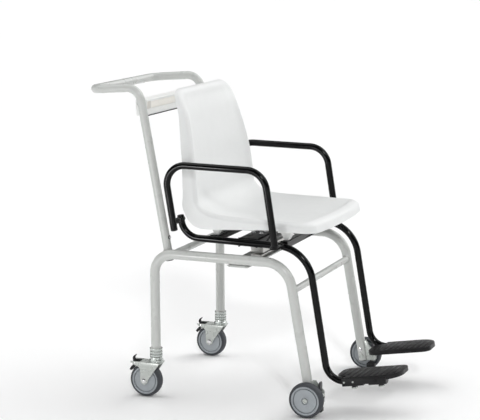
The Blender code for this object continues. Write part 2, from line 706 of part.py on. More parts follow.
# ------------------------------------------------------------------- read-out
z0, z1 = HOUSING_Z
outline = rounded([(-HOUSING_X, z0), (HOUSING_X, z0), (HOUSING_X, z1), (-HOUSING_X, z1)], [5] * 4)
pocket = [(-196, z0 + 3), (196, z0 + 3), (196, z1 - 3), (-196, z1 - 3)]
union("display_housing", "housing_plastic",
      [prism_mesh([(px, HOUSING_FRONT, pz) for px, pz in outline], (0, HOUSING_SPLIT - HOUSING_FRONT, 0))],
      [prism_mesh([(px, HOUSING_FRONT + 3, pz) for px, pz in pocket], (0, 40, 0)),
       prism_mesh([(-171, 234, 838), (186, 234, 838), (186, 234, 857), (-171, 234, 857)], (0, 2.8, 0))])
LCD = (-62, 62, 828, 854)
BATTERY = (-182, -92, 825, 856)
BUTTONS = (("power_button", 96), ("hold_button", 126), ("tare_button", 156))
BUTTON_Z = 841


def rear_plate(x0, x1, za, zb, y0, y1):
    return box_mesh((x0, x1), (y0, y1), (za, zb))


union("display_back_cover", "housing_plastic",
      [prism_mesh([(px, HOUSING_SPLIT + GAP, pz) for px, pz in outline], (0, HOUSING_REAR - HOUSING_SPLIT - GAP, 0))],
      [rear_plate(*LCD, 260, 280), rear_plate(*BATTERY, 260, 280)]
      + [rod_mesh((bx, 0, BUTTON_Z), (0, 1, 0), 6.9, 260, 280, 16) for _, bx in BUTTONS])
solid("lcd_window", rear_plate(LCD[0] + 0.4, LCD[1] - 0.4, LCD[2] + 0.4, LCD[3] - 0.4, 266.5, 271.2), "lcd_glass")
solid("display_board", rear_plate(-74, 176, 822, 859, 254, 256), "board_green")
solid("battery_pack", rear_plate(-178, -96, 829, 853, 241, 262), "battery_wrap")
HINGE = (270.2, 853.8)
cover_outline = [(HINGE[0] + 1.6 * math.cos(math.radians(a)), HINGE[1] + 1.6 * math.sin(math.radians(a)))
                 for a in (0, 30, 60, 90, 120, 150, 180)] + [(268.6, 825.5), (271.8, 825.5)]
solid("battery_cover", profile_x(cover_outline, BATTERY[0] + 0.4, BATTERY[1] - 0.4), "housing_plastic",
      origin=(-137, *HINGE))
for name, bx in BUTTONS:
    solid(name, turned_mesh((bx, 0, BUTTON_Z), (0, 1, 0), [
        (0, 263), (8.2, 263), (8.2, 265.5), (6.5, 265.5), (6.5, 273), (5.7, 273.8), (0, 273.8)], 16),
        "button_plastic", origin=(bx, HOUSING_REAR, BUTTON_Z))
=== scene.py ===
"""Looks of the digital chair scale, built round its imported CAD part.  Measures
are millimetres in the CAD's own drawing frame; Y_SHIFT brings them to the frame
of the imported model.  +Z up, the chair faces -Y, +X is the sitter's left."""

import json
import math

import bmesh
import bpy
from mathutils import Matrix, Vector

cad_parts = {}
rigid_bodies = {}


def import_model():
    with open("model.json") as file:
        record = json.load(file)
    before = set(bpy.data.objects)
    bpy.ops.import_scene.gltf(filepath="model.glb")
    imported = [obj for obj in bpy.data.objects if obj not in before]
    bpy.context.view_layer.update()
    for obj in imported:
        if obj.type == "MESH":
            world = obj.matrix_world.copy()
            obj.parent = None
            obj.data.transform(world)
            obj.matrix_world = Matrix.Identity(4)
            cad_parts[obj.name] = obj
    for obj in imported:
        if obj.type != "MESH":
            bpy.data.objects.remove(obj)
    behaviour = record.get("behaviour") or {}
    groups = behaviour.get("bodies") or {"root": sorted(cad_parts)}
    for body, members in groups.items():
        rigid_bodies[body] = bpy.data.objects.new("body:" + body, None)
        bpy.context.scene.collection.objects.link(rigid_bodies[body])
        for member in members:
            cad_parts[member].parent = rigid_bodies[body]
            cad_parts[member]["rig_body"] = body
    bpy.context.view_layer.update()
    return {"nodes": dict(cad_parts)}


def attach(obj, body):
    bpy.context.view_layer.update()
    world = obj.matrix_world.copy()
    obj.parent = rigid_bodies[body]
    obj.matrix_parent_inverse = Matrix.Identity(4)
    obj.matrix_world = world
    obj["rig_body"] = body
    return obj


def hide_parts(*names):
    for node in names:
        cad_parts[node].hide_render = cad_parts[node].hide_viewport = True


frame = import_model()
BODY = {name: obj["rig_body"] for name, obj in frame["nodes"].items()}

# ----------------------------------------------------------------- dimensions
MM = 0.001
Y_SHIFT = 50.9            # measured Y -> Y about the middle of the footprint
GAP = 0.3                 # play between pieces that touch

FRAME_X = 239.0           # plane of each side frame
FRAME_R = 14.0
REAR_LEG_Y = 200.0
REAR_LEG_END = 148.0
RAIL_Z = 427.5
LEG_SLOPE = 0.1774
FRONT_LEG_END = 36.0

FRONT_R = 50.0
FRONT_WHEEL_Y = -275.6
FRONT_WHEEL_X = 269.0
REAR_R = 49.0
REAR_WHEEL_Y = 231.5
TYRE_HALF = 15.0

HANDLE_X = 212.0
HANDLE_R = 12.4
HANDLE_BAR_Y = 410.5

SEAT_RAIL_X = 202.0
SEAT_RAIL_R = 10.0
PIVOT_Y, PIVOT_Z = 132.0, 525.0
ARM_X = 258.4
ARM_R = 10.0

STUB_CORNER = (-316.7, 87.8)
STUB_SLOPE = 0.167
STUB_LENGTH = 170.0
PLATE_TOP = 11.4          # top of the footplate above the stub axis
PLATE_THICK = 13.0

SHELL_WALL = 5.0

HOUSING_X = 199.2
HOUSING_Z = (817.0, 864.0)
HOUSING_FRONT = 236.0
HOUSING_SPLIT = 268.0
HOUSING_REAR = 272.0

SIDES = (("right", -1.0), ("left", 1.0))


# ------------------------------------------------------------------ materials
class Graph:
    """Short hand for wiring a node material."""

    def __init__(self, name):
        self.mat = bpy.data.materials.new(name)
        self.mat.use_nodes = True
        self.tree = self.mat.node_tree
        self.shader = self.tree.nodes["Principled BSDF"]
        self.coords = self.tree.nodes.new("ShaderNodeTexCoord").outputs["Object"]

    def node(self, kind, **values):
        n = self.tree.nodes.new(kind)
        for key, value in values.items():
            setattr(n, key, value)
        return n

    def link(self, a, b):
        self.tree.links.new(a, b)

    def stretch(self, scale, turn=(0, 0, 0)):
        m = self.node("ShaderNodeMapping")
        m.inputs["Scale"].default_value = scale
        m.inputs["Rotation"].default_value = turn
        self.link(self.coords, m.inputs["Vector"])
        return m.outputs["Vector"]

    def noise(self, scale, detail=3.0, rough=0.5, vector=None, distort=0.0):
        n = self.node("ShaderNodeTexNoise")
        n.inputs["Scale"].default_value = scale
        n.inputs["Detail"].default_value = detail
        n.inputs["Roughness"].default_value = rough
        n.inputs["Distortion"].default_value = distort
        self.link(vector or self.coords, n.inputs["Vector"])
        return n.outputs["Fac"]

    def cells(self, scale, feature="F1", vector=None):
        n = self.node("ShaderNodeTexVoronoi", feature=feature)
        n.inputs["Scale"].default_value = scale
        self.link(vector or self.coords, n.inputs["Vector"])
        return n.outputs["Distance"]

    def span(self, value, a, b, low, high):
        n = self.node("ShaderNodeMapRange", clamp=True)
        for key, v in (("From Min", a), ("From Max", b), ("To Min", low), ("To Max", high)):
            n.inputs[key].default_value = v
        self.link(value, n.inputs["Value"])
        return n.outputs["Result"]

    def blend(self, factor, a, b):
        n = self.node("ShaderNodeMix", data_type="RGBA")
        self.link(factor, n.inputs["Factor"])
        for socket, v in ((n.inputs[6], a), (n.inputs[7], b)):
            if isinstance(v, tuple):
                socket.default_value = (*v, 1.0)
            else:
                self.link(v, socket)
        return n.outputs[2]

    def bump(self, height, strength, distance, below=None):
        n = self.node("ShaderNodeBump")
        n.inputs["Strength"].default_value = strength
        n.inputs["Distance"].default_value = distance
        self.link(height, n.inputs["Height"])
        if below:
            self.link(below, n.inputs["Normal"])
        return n.outputs["Normal"]


def tint(colour, k):
    return tuple(min(c * k, 1.0) for c in colour)


def look(name, colour, rough, metallic=0.0, coat=0.0, coat_rough=0.08, specular=0.5,
         tone=(9.0, 0.05), mottle=(90.0, 0.03), rough_var=0.05, skin=(700.0, 0.12, 0.0004),
         wave=None, brushed=None, dust=0.0):
    """Painted, moulded or plated finish: slow and fine colour variation, uneven
    gloss, a fine skin in the normals, and long-wave unevenness or brushing."""
    g = Graph("look_" + name)
    slow = g.noise(tone[0], 4.0, 0.55)
    base = g.blend(g.span(slow, 0.32, 0.68, 0, 1), tint(colour, 1 - tone[1]), tint(colour, 1 + tone[1]))
    fine = g.noise(mottle[0], 2.0, 0.6)
    dark = g.blend(g.span(slow, 0.32, 0.68, 0, 1), tint(colour, (1 - tone[1]) * (1 - mottle[1])),
                   tint(colour, (1 + tone[1]) * (1 - mottle[1])))
    base = g.blend(g.span(fine, 0.35, 0.65, 0, 1), dark, base)
    if dust:
        specks = g.cells(310.0)
        base = g.blend(g.span(specks, 0.02, 0.16, dust, 0.0), base, tint(colour, 1.45))
    g.link(base, g.shader.inputs["Base Color"])
    vector = g.stretch(brushed) if brushed else None
    uneven = g.noise(160.0 if brushed else 34.0, 4.0, 0.6, vector)
    g.link(g.span(uneven, 0.3, 0.7, max(rough - rough_var, 0.03), rough + rough_var), g.shader.inputs["Roughness"])
    normal = None
    if wave:
        normal = g.bump(g.noise(wave[0], 1.0, 0.4), wave[1], wave[2])
    normal = g.bump(g.noise(skin[0], 2.0, 0.55, vector), skin[1], skin[2], normal)
    g.link(normal, g.shader.inputs["Normal"])
    g.shader.inputs["Metallic"].default_value = metallic
    g.shader.inputs["Specular IOR Level"].default_value = specular
    g.shader.inputs["Coat Weight"].default_value = coat
    g.shader.inputs["Coat Roughness"].default_value = coat_rough
    return g.mat


LOOKS = {
    "frame_paint": look("frame_paint", (0.535, 0.548, 0.53), 0.28, coat=0.3, coat_rough=0.14,
                        tone=(3, 0.006), mottle=(60, 0.006), rough_var=0.01, skin=(900, 0.02, 0.0002)),
    "black_paint": look("black_paint", (0.002, 0.002, 0.0023), 0.09, coat=0.0, specular=0.2,
                        tone=(8, 0.10), mottle=(80, 0.08), rough_var=0.03, wave=(170, 0.05, 0.0005),
                        skin=(900, 0.04, 0.0003)),
    "shell_plastic": look("shell_plastic", (0.765, 0.776, 0.771), 0.42, specular=0.45,
                          tone=(3, 0.012), mottle=(45, 0.012), rough_var=0.05, skin=(1300, 0.16, 0.0003),
                          wave=(14, 0.03, 0.002)),
    "plate_plastic": look("plate_plastic", (0.011, 0.0106, 0.0114), 0.38, specular=0.22,
                          tone=(10, 0.12), mottle=(150, 0.12), rough_var=0.08, skin=(900, 0.45, 0.0005), dust=0.10),
    "housing_plastic": look("housing_plastic", (0.86, 0.865, 0.85), 0.45, specular=0.4,
                            tone=(6, 0.012), mottle=(80, 0.01), skin=(1100, 0.25, 0.0003)),
    "tyre_rubber": look("tyre_rubber", (0.052, 0.056, 0.064), 0.62, specular=0.35,
                        tone=(14, 0.10), mottle=(160, 0.10), rough_var=0.08, skin=(800, 0.30, 0.0005), dust=0.12),
    "hub_plastic": look("hub_plastic", (0.325, 0.35, 0.372), 0.42, specular=0.45,
                        tone=(14, 0.05), mottle=(120, 0.04), skin=(900, 0.20, 0.0003)),
    "zinc_steel": look("zinc_steel", (0.52, 0.545, 0.52), 0.28, metallic=0.35,
                       tone=(22, 0.03), mottle=(140, 0.03), rough_var=0.05, skin=(500, 0.04, 0.0003)),
    "chrome_steel": look("chrome_steel", (0.78, 0.78, 0.79), 0.12, metallic=1.0,
                         tone=(30, 0.03), mottle=(200, 0.02), rough_var=0.04, skin=(700, 0.03, 0.0002)),
    "bright_zinc": look("bright_zinc", (0.50, 0.53, 0.51), 0.20, metallic=0.9,
                        tone=(30, 0.04), mottle=(200, 0.03), rough_var=0.05, skin=(700, 0.04, 0.0002)),
    "cell_aluminium": look("cell_aluminium", (0.70, 0.69, 0.67), 0.34, metallic=0.85,
                           tone=(16, 0.05), mottle=(90, 0.04), rough_var=0.09, brushed=(1, 14, 14),
                           skin=(60, 0.10, 0.0003)),
    "brake_plastic": look("brake_plastic", (0.009, 0.009, 0.010), 0.42, specular=0.28,
                          tone=(18, 0.15), mottle=(200, 0.12), skin=(1000, 0.30, 0.0004)),
    "lever_plastic": look("lever_plastic", (0.06, 0.06, 0.065), 0.40, specular=0.45,
                          tone=(18, 0.10), mottle=(200, 0.10), skin=(1000, 0.25, 0.0004)),
    "button_plastic": look("button_plastic", (0.10, 0.18, 0.30), 0.40, specular=0.4,
                           tone=(40, 0.04), mottle=(200, 0.04), skin=(1200, 0.25, 0.0003)),
    "button_mark": look("button_mark", (0.80, 0.82, 0.82), 0.45, specular=0.4,
                        tone=(40, 0.02), mottle=(200, 0.03), skin=(1200, 0.10, 0.0003)),
    "board_green": look("board_green", (0.025, 0.15, 0.07), 0.35, specular=0.5,
                        tone=(30, 0.10), mottle=(300, 0.2), skin=(900, 0.2, 0.0003)),
    "battery_wrap": look("battery_wrap", (0.08, 0.10, 0.28), 0.38, specular=0.5,
                         tone=(20, 0.06), mottle=(200, 0.05), skin=(500, 0.15, 0.0004)),
    "lcd_glass": look("lcd_glass", (0.33, 0.37, 0.31), 0.10, coat=0.5, coat_rough=0.03, specular=0.5,
                      tone=(12, 0.03), mottle=(500, 0.03), rough_var=0.02, skin=(400, 0.02, 0.0002)),
    "lcd_segment": look("lcd_segment", (0.035, 0.04, 0.045), 0.25, specular=0.4,
                        tone=(30, 0.05), mottle=(400, 0.05), skin=(600, 0.05, 0.0002)),
    "lcd_ghost": look("lcd_ghost", (0.27, 0.305, 0.255), 0.2, specular=0.4,
                      tone=(30, 0.03), mottle=(400, 0.03), skin=(600, 0.05, 0.0002)),
    "weld_bead": look("weld_bead", (0.50, 0.51, 0.49), 0.33, coat=0.2, coat_rough=0.15,
                      tone=(60, 0.06), mottle=(400, 0.05), skin=(600, 0.25, 0.0006)),
    "weld_black": look("weld_black", (0.011, 0.011, 0.012), 0.24, coat=0.1, specular=0.4,
                       tone=(60, 0.12), mottle=(400, 0.1), skin=(600, 0.25, 0.0006)),
    "panel_cream": look("panel_cream", (0.88, 0.855, 0.80), 0.40, specular=0.4,
                        tone=(5, 0.02), mottle=(80, 0.02), skin=(900, 0.12, 0.0003)),
    "panel_grey": look("panel_grey", (0.70, 0.675, 0.63), 0.45, specular=0.4,
                       tone=(12, 0.04), mottle=(100, 0.03), skin=(900, 0.15, 0.0003)),
}


# ------------------------------------------------------------------- geometry
def fillet(points, radii, turn=18.0):
    """Polyline through points with each inner corner rounded."""
    pts = [Vector(p) for p in points]
    out = [pts[0]]
    for i in range(1, len(pts) - 1):
        a, b, c = pts[i - 1], pts[i], pts[i + 1]
        r = radii[i - 1]
        u, w = (a - b).normalized(), (c - b).normalized()
        half = u.angle(w) / 2
        centre = b + (u + w).normalized() * (r / math.sin(half))
        start = b + u * (r / math.tan(half)) - centre
        end = b + w * (r / math.tan(half)) - centre
        angle = start.angle(end)
        axis = start.cross(end).normalized()
        steps = max(2, math.ceil(math.degrees(angle) / turn))
        for k in range(steps + 1):
            out.append(centre + Matrix.Rotation(angle * k / steps, 3, axis) @ start)
    out.append(pts[-1])
    return out


def rounded(points, radii, turn=22.5):
    """Closed 2-D outline with rounded corners."""
    out = []
    n = len(points)
    for i in range(n):
        a, b, c = (Vector(points[(i + k) % n]) for k in (-1, 0, 1))
        r = radii[i]
        if r <= 0:
            out.append(b)
            continue
        u, w = (a - b).normalized(), (c - b).normalized()
        half = u.angle(w) / 2
        centre = b + (u + w).normalized() * (r / math.sin(half))
        start = b + u * (r / math.tan(half)) - centre
        end = b + w * (r / math.tan(half)) - centre
        a0 = math.atan2(start.y, start.x)
        swing = math.atan2(end.y, end.x) - a0
        swing = (swing + math.pi) % (2 * math.pi) - math.pi
        steps = max(1, math.ceil(math.degrees(abs(swing)) / turn))
        for k in range(steps + 1):
            t = a0 + swing * k / steps
            out.append(centre + Vector((math.cos(t), math.sin(t))) * r)
    return out


def soft(profile, size, turn=22.5):
    """Closed (radius, along) or 2-D profile with its corners rounded, except on the axis."""
    return [tuple(p) for p in rounded(profile, [0 if p[0] < 1e-6 else size for p in profile], turn)]


def tube(path, radius, sides=40, closed=False, ripple=0.0, squash=1.0):
    bm = bmesh.new()
    pts = [Vector(p) for p in path]
    n = len(pts)
    rings = []
    side = None
    for i, p in enumerate(pts):
        before = (p - pts[i - 1]).normalized() if i or closed else None
        after = (pts[(i + 1) % n] - p).normalized() if i < n - 1 or closed else None
        tangent = (before + after).normalized() if before and after else (before or after)
        if side is None:
            base = Vector((1, 0, 0)) if abs(tangent.x) < 0.9 else Vector((0, 1, 0))
            side = (base - tangent * base.dot(tangent)).normalized()
        else:
            side = (side - tangent * side.dot(tangent)).normalized()
        up = tangent.cross(side)
        r = radius * (1 + ripple * math.cos(math.pi * i)) if ripple else radius
        rings.append([
            bm.verts.new(p + side * (r * math.cos(t)) + up * (r * squash * math.sin(t)))
            for t in (2 * math.pi * k / sides for k in range(sides))
        ])
    if closed:      # turn the last ring on by the frame's drift so the seam closes
        first, last = rings[0], rings[-1]
        best = min(range(sides), key=lambda k: (last[k].co - first[0].co).length)
        pairs = list(zip(rings, rings[1:]))
        for a, b in pairs:
            for k in range(sides):
                m = (k + 1) % sides
                bm.faces.new((a[k], a[m], b[m], b[k]))
        for k in range(sides):
            m = (k + 1) % sides
            bm.faces.new((last[(best + k) % sides], last[(best + m) % sides], first[m], first[k]))
        return bm
    for a, b in zip(rings, rings[1:]):
        for k in range(sides):
            m = (k + 1) % sides
            bm.faces.new((a[k], a[m], b[m], b[k]))
    bm.faces.new(rings[0][::-1])
    bm.faces.new(rings[-1])
    return bm


def prism_mesh(outline, direction):
    """outline: 3-D points of a flat polygon, extruded by direction."""
    bm = bmesh.new()
    low = [bm.verts.new(Vector(p)) for p in outline]
    high = [bm.verts.new(Vector(p) + Vector(direction)) for p in outline]
    n = len(low)
    for k in range(n):
        m = (k + 1) % n
        bm.faces.new((low[k], low[m], high[m], high[k]))
    bm.faces.new(low[::-1])
    bm.faces.new(high)
    return bm


def box_mesh(x, y, z):
    return prism_mesh(
        [(x[0], y[0], z[0]), (x[1], y[0], z[0]), (x[1], y[1], z[0]), (x[0], y[1], z[0])],
        (0, 0, z[1] - z[0]))


def profile_x(outline, x0, x1):
    """(y, z) outline extruded along X."""
    return prism_mesh([(x0, p[0], p[1]) for p in outline], (x1 - x0, 0, 0))


def turned_mesh(origin, axis, profile, sides=16, phase=0.0):
    """Closed (radius, along) profile turned about axis; radius 0 closes a pole."""
    bm = bmesh.new()
    axis = Vector(axis).normalized()
    side = Vector((1, 0, 0)) if abs(axis.x) < 0.9 else Vector((0, 1, 0))
    side = (side - axis * side.dot(axis)).normalized()
    up = axis.cross(side)
    origin = Vector(origin)
    rings = []
    for r, a in profile:
        centre = origin + axis * a
        if r < 1e-6:
            rings.append([bm.verts.new(centre)])
        else:
            rings.append([
                bm.verts.new(centre + side * (r * math.cos(t)) + up * (r * math.sin(t)))
                for t in (2 * math.pi * (k + phase) / sides for k in range(sides))
            ])
    pairs = list(zip(rings, rings[1:] + rings[:1]))
    for a, b in pairs:
        if len(a) == 1 and len(b) == 1:
            continue
        for k in range(sides):
            m = (k + 1) % sides
            if len(a) == 1:
                bm.faces.new((a[0], b[m], b[k]))
            elif len(b) == 1:
                bm.faces.new((a[k], a[m], b[0]))
            else:
                bm.faces.new((a[k], a[m], b[m], b[k]))
    return bm


def rod_mesh(origin, axis, radius, start, end, sides=16):
    return turned_mesh(origin, axis, [(0, start), (radius, start), (radius, end), (0, end)], sides)

def soften(bm, width, segments=2, angle=32.0, keep=None):
    """Round the edges of a bmesh that are sharper than angle (keep: test on an edge)."""
    bmesh.ops.recalc_face_normals(bm, faces=bm.faces)
    bm.normal_update()
    edges = [e for e in bm.edges if len(e.link_faces) == 2
             and e.calc_face_angle(0.0) > math.radians(angle) and (keep is None or keep(e))]
    if edges:
        bmesh.ops.bevel(bm, geom=edges, offset=width, offset_type="OFFSET", segments=segments,
                        profile=0.5, affect="EDGES", clamp_overlap=True)
    return bm


def join(*meshes):
    """Several closed bmeshes as one (they may overlap: they are one fastened piece)."""
    out = bmesh.new()
    for bm in meshes:
        index = {}
        for v in bm.verts:
            index[v] = out.verts.new(v.co)
        for f in bm.faces:
            out.faces.new([index[v] for v in f.verts])
        bm.free()
    return out


def raw(name, bm, origin=(0, 0, 0)):
    origin = Vector(origin)
    bmesh.ops.recalc_face_normals(bm, faces=bm.faces)
    for v in bm.verts:
        v.co = (v.co - origin) * MM
    mesh = bpy.data.meshes.new(name)
    bm.to_mesh(mesh)
    bm.free()
    obj = bpy.data.objects.new(name, mesh)
    obj.location = (origin + Vector((0, Y_SHIFT, 0))) * MM
    bpy.context.scene.collection.objects.link(obj)
    return obj


def combine(obj, other, operation="DIFFERENCE"):
    """Boolean obj with other, which is used up."""
    mod = obj.modifiers.new("cut", "BOOLEAN")
    mod.operation = operation
    mod.object = other
    mod.solver = "EXACT"
    bpy.context.view_layer.update()
    graph = bpy.context.evaluated_depsgraph_get()
    mesh = bpy.data.meshes.new_from_object(obj.evaluated_get(graph))
    obj.modifiers.clear()
    before = obj.data
    obj.data = mesh
    bpy.data.meshes.remove(before)
    bpy.data.objects.remove(other, do_unlink=True)
    return obj


def dress(obj, finish, body, nodes=(), smooth=34.0, bevel=0.0, segments=2, weights=False, angle=35.0):
    """Material, shading, body and the CAD nodes that the piece stands for."""
    mesh = obj.data
    mesh.materials.clear()
    mesh.materials.append(LOOKS[finish])
    for poly in mesh.polygons:
        poly.material_index = 0
    mesh.shade_smooth()
    mesh.set_sharp_from_angle(angle=math.radians(smooth))
    if bevel:
        mod = obj.modifiers.new("edges", "BEVEL")
        mod.width = bevel * MM
        mod.segments = segments
        mod.limit_method = "ANGLE"
        mod.angle_limit = math.radians(angle)
        mod.harden_normals = True
    if weights:
        mod = obj.modifiers.new("weights", "WEIGHTED_NORMAL")
        mod.keep_sharp = True
    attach(obj, body)
    if nodes:
        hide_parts(*nodes)
    return obj


def piece(name, bm, finish, body="frame", nodes=(), origin=(0, 0, 0), **extra):
    return dress(raw(name, bm, origin), finish, body, nodes, **extra)


def bead(name, points, finish="weld_bead", size=1.9, body="frame"):
    """Rippled weld bead along a closed run of points."""
    pts = [Vector(p) for p in points]
    n = len(pts)
    lengths = [(pts[(i + 1) % n] - pts[i]).length for i in range(n)]
    total = sum(lengths)
    count = max(24, 2 * int(total / 2.0 / 2))
    out, i, run = [], 0, 0.0
    for k in range(count):
        want = total * k / count
        while run + lengths[i] < want:
            run += lengths[i]
            i += 1
        f = (want - run) / lengths[i]
        out.append(pts[i].lerp(pts[(i + 1) % n], f))
    return piece(name, tube(out, size, 10, closed=True, ripple=0.10), finish, body, smooth=60)


def hex_head(origin, axis, across, height, washer=0.0, phase=0.0):
    """Hexagon bolt head or nut with a chamfered crown, on a washer if wanted."""
    r = across / math.sqrt(3)
    base = 1.2 if washer else 0.0
    head = turned_mesh(origin, axis, [
        (0, base), (r, base), (r, base + height * 0.82), (r * 0.84, base + height), (0, base + height)], 6, phase)
    parts = [head]
    if washer:
        parts.append(turned_mesh(origin, axis, soft([(0, 0), (washer, 0), (washer, base), (0, base)], 0.3, 45), 32))
    return join(*parts)


def socket_screw(origin, axis, radius, height):
    """Round head with a hexagon socket."""
    bm = turned_mesh(origin, axis, [
        (0, 0), (radius, 0), (radius, height * 0.75), (radius * 0.9, height), (radius * 0.55, height),
        (radius * 0.5, height * 0.45), (0, height * 0.4)], 24)
    return bm


def leg_y(z):
    return -240.1 + LEG_SLOPE * (z - 250.0)


# ----------------------------------------------------------------- seat shell
# Half outline from the top centre to the front centre: edge point, rear edge
# of the flange, direction into the face, size of the rounding.
def back_y(z):
    return 123.0 + 0.449 * (z - 838.0)


def shell_controls():
    """Rows of edge point, rear edge point and step from the edge into the face."""
    rows = []
    for x in (0.0, 50.0, 100.0, 132.0):
        rows.append(((x, back_y(893), 893), (x, 162, 894.5), (0, -4.5, -9)))
    for a in (82, 60, 45, 30, 8):
        c, t = math.cos(math.radians(a)), math.sin(math.radians(a))
        x, z = 145 + 46 * c, 848 + 45 * t
        rows.append(((x, back_y(z), z), (x + 0.5 * c, back_y(z) + 14 + 6 * (1 - t), z + 6 * (1 - t) + 1.5),
                     (-11 * c, -4 * t - 1.5 * c, -9 * t)))
    for x, r, f in (
            (195.5, (117, 820), (139.5, 826)), (202, (106.5, 782), (133, 782)),
            (212, (96, 735), (126, 737)), (219, (89, 696), (120, 697)),
            (223, (84.5, 660), (117.3, 652)), (226, (80.5, 624), (115, 610)),
            (227, (78, 600), (115, 588)), (227, (75, 581), (116, 567)),
            (227, (62, 563), (108, 545)), (227, (40, 549.5), (93, 523)),
            (227, (14, 542), (62, 506)), (227, (-32, 539), (-10, 507.5)),
            (227, (-93, 537.5), (-90, 512)), (227, (-148, 536.5), (-147, 514.5)),
            (227, (-195, 535), (-195, 513.5))):
        back = min(max((r[1] - 545) / 60.0, 0.0), 1.0)
        rows.append(((x, *r), (x, *f), (-15, -3.5 * back, 5.5 * (1 - back))))
    for a, rim in ((12, 2), (32, 3), (50, 4), (70, 5), (88, 5)):
        c, t = math.cos(math.radians(a)), math.sin(math.radians(a))
        x, y = 181 + 46 * c, -222 - 53 * t
        rows.append(((x, y, 534.5 + 1.5 * t), (181 + 46 * c, y - rim * t, 512.5 - 3 * t),
                     (-15 * c, 19 * t, 5.5)))
    for x in (130.0, 90.0, 45.0, 0.0):
        rows.append(((x, -285 + x * x / 3000.0, 536), (x, -290.5 + x * x / 3000.0, 509), (0, 20, 5)))
    return rows


def catmull(points, t):
    """Point at t in 0..len-1 on a smooth curve through the points."""
    n = len(points)
    i = min(int(t), n - 2)
    f = t - i
    p0, p1, p2, p3 = (points[min(max(k, 0), n - 1)] for k in (i - 1, i, i + 1, i + 2))
    return [0.5 * ((2 * b) + (c - a) * f + (2 * a - 5 * b + 4 * c - d) * f * f
                   + (3 * b - a - 3 * c + d) * f ** 3) for a, b, c, d in zip(p0, p1, p2, p3)]


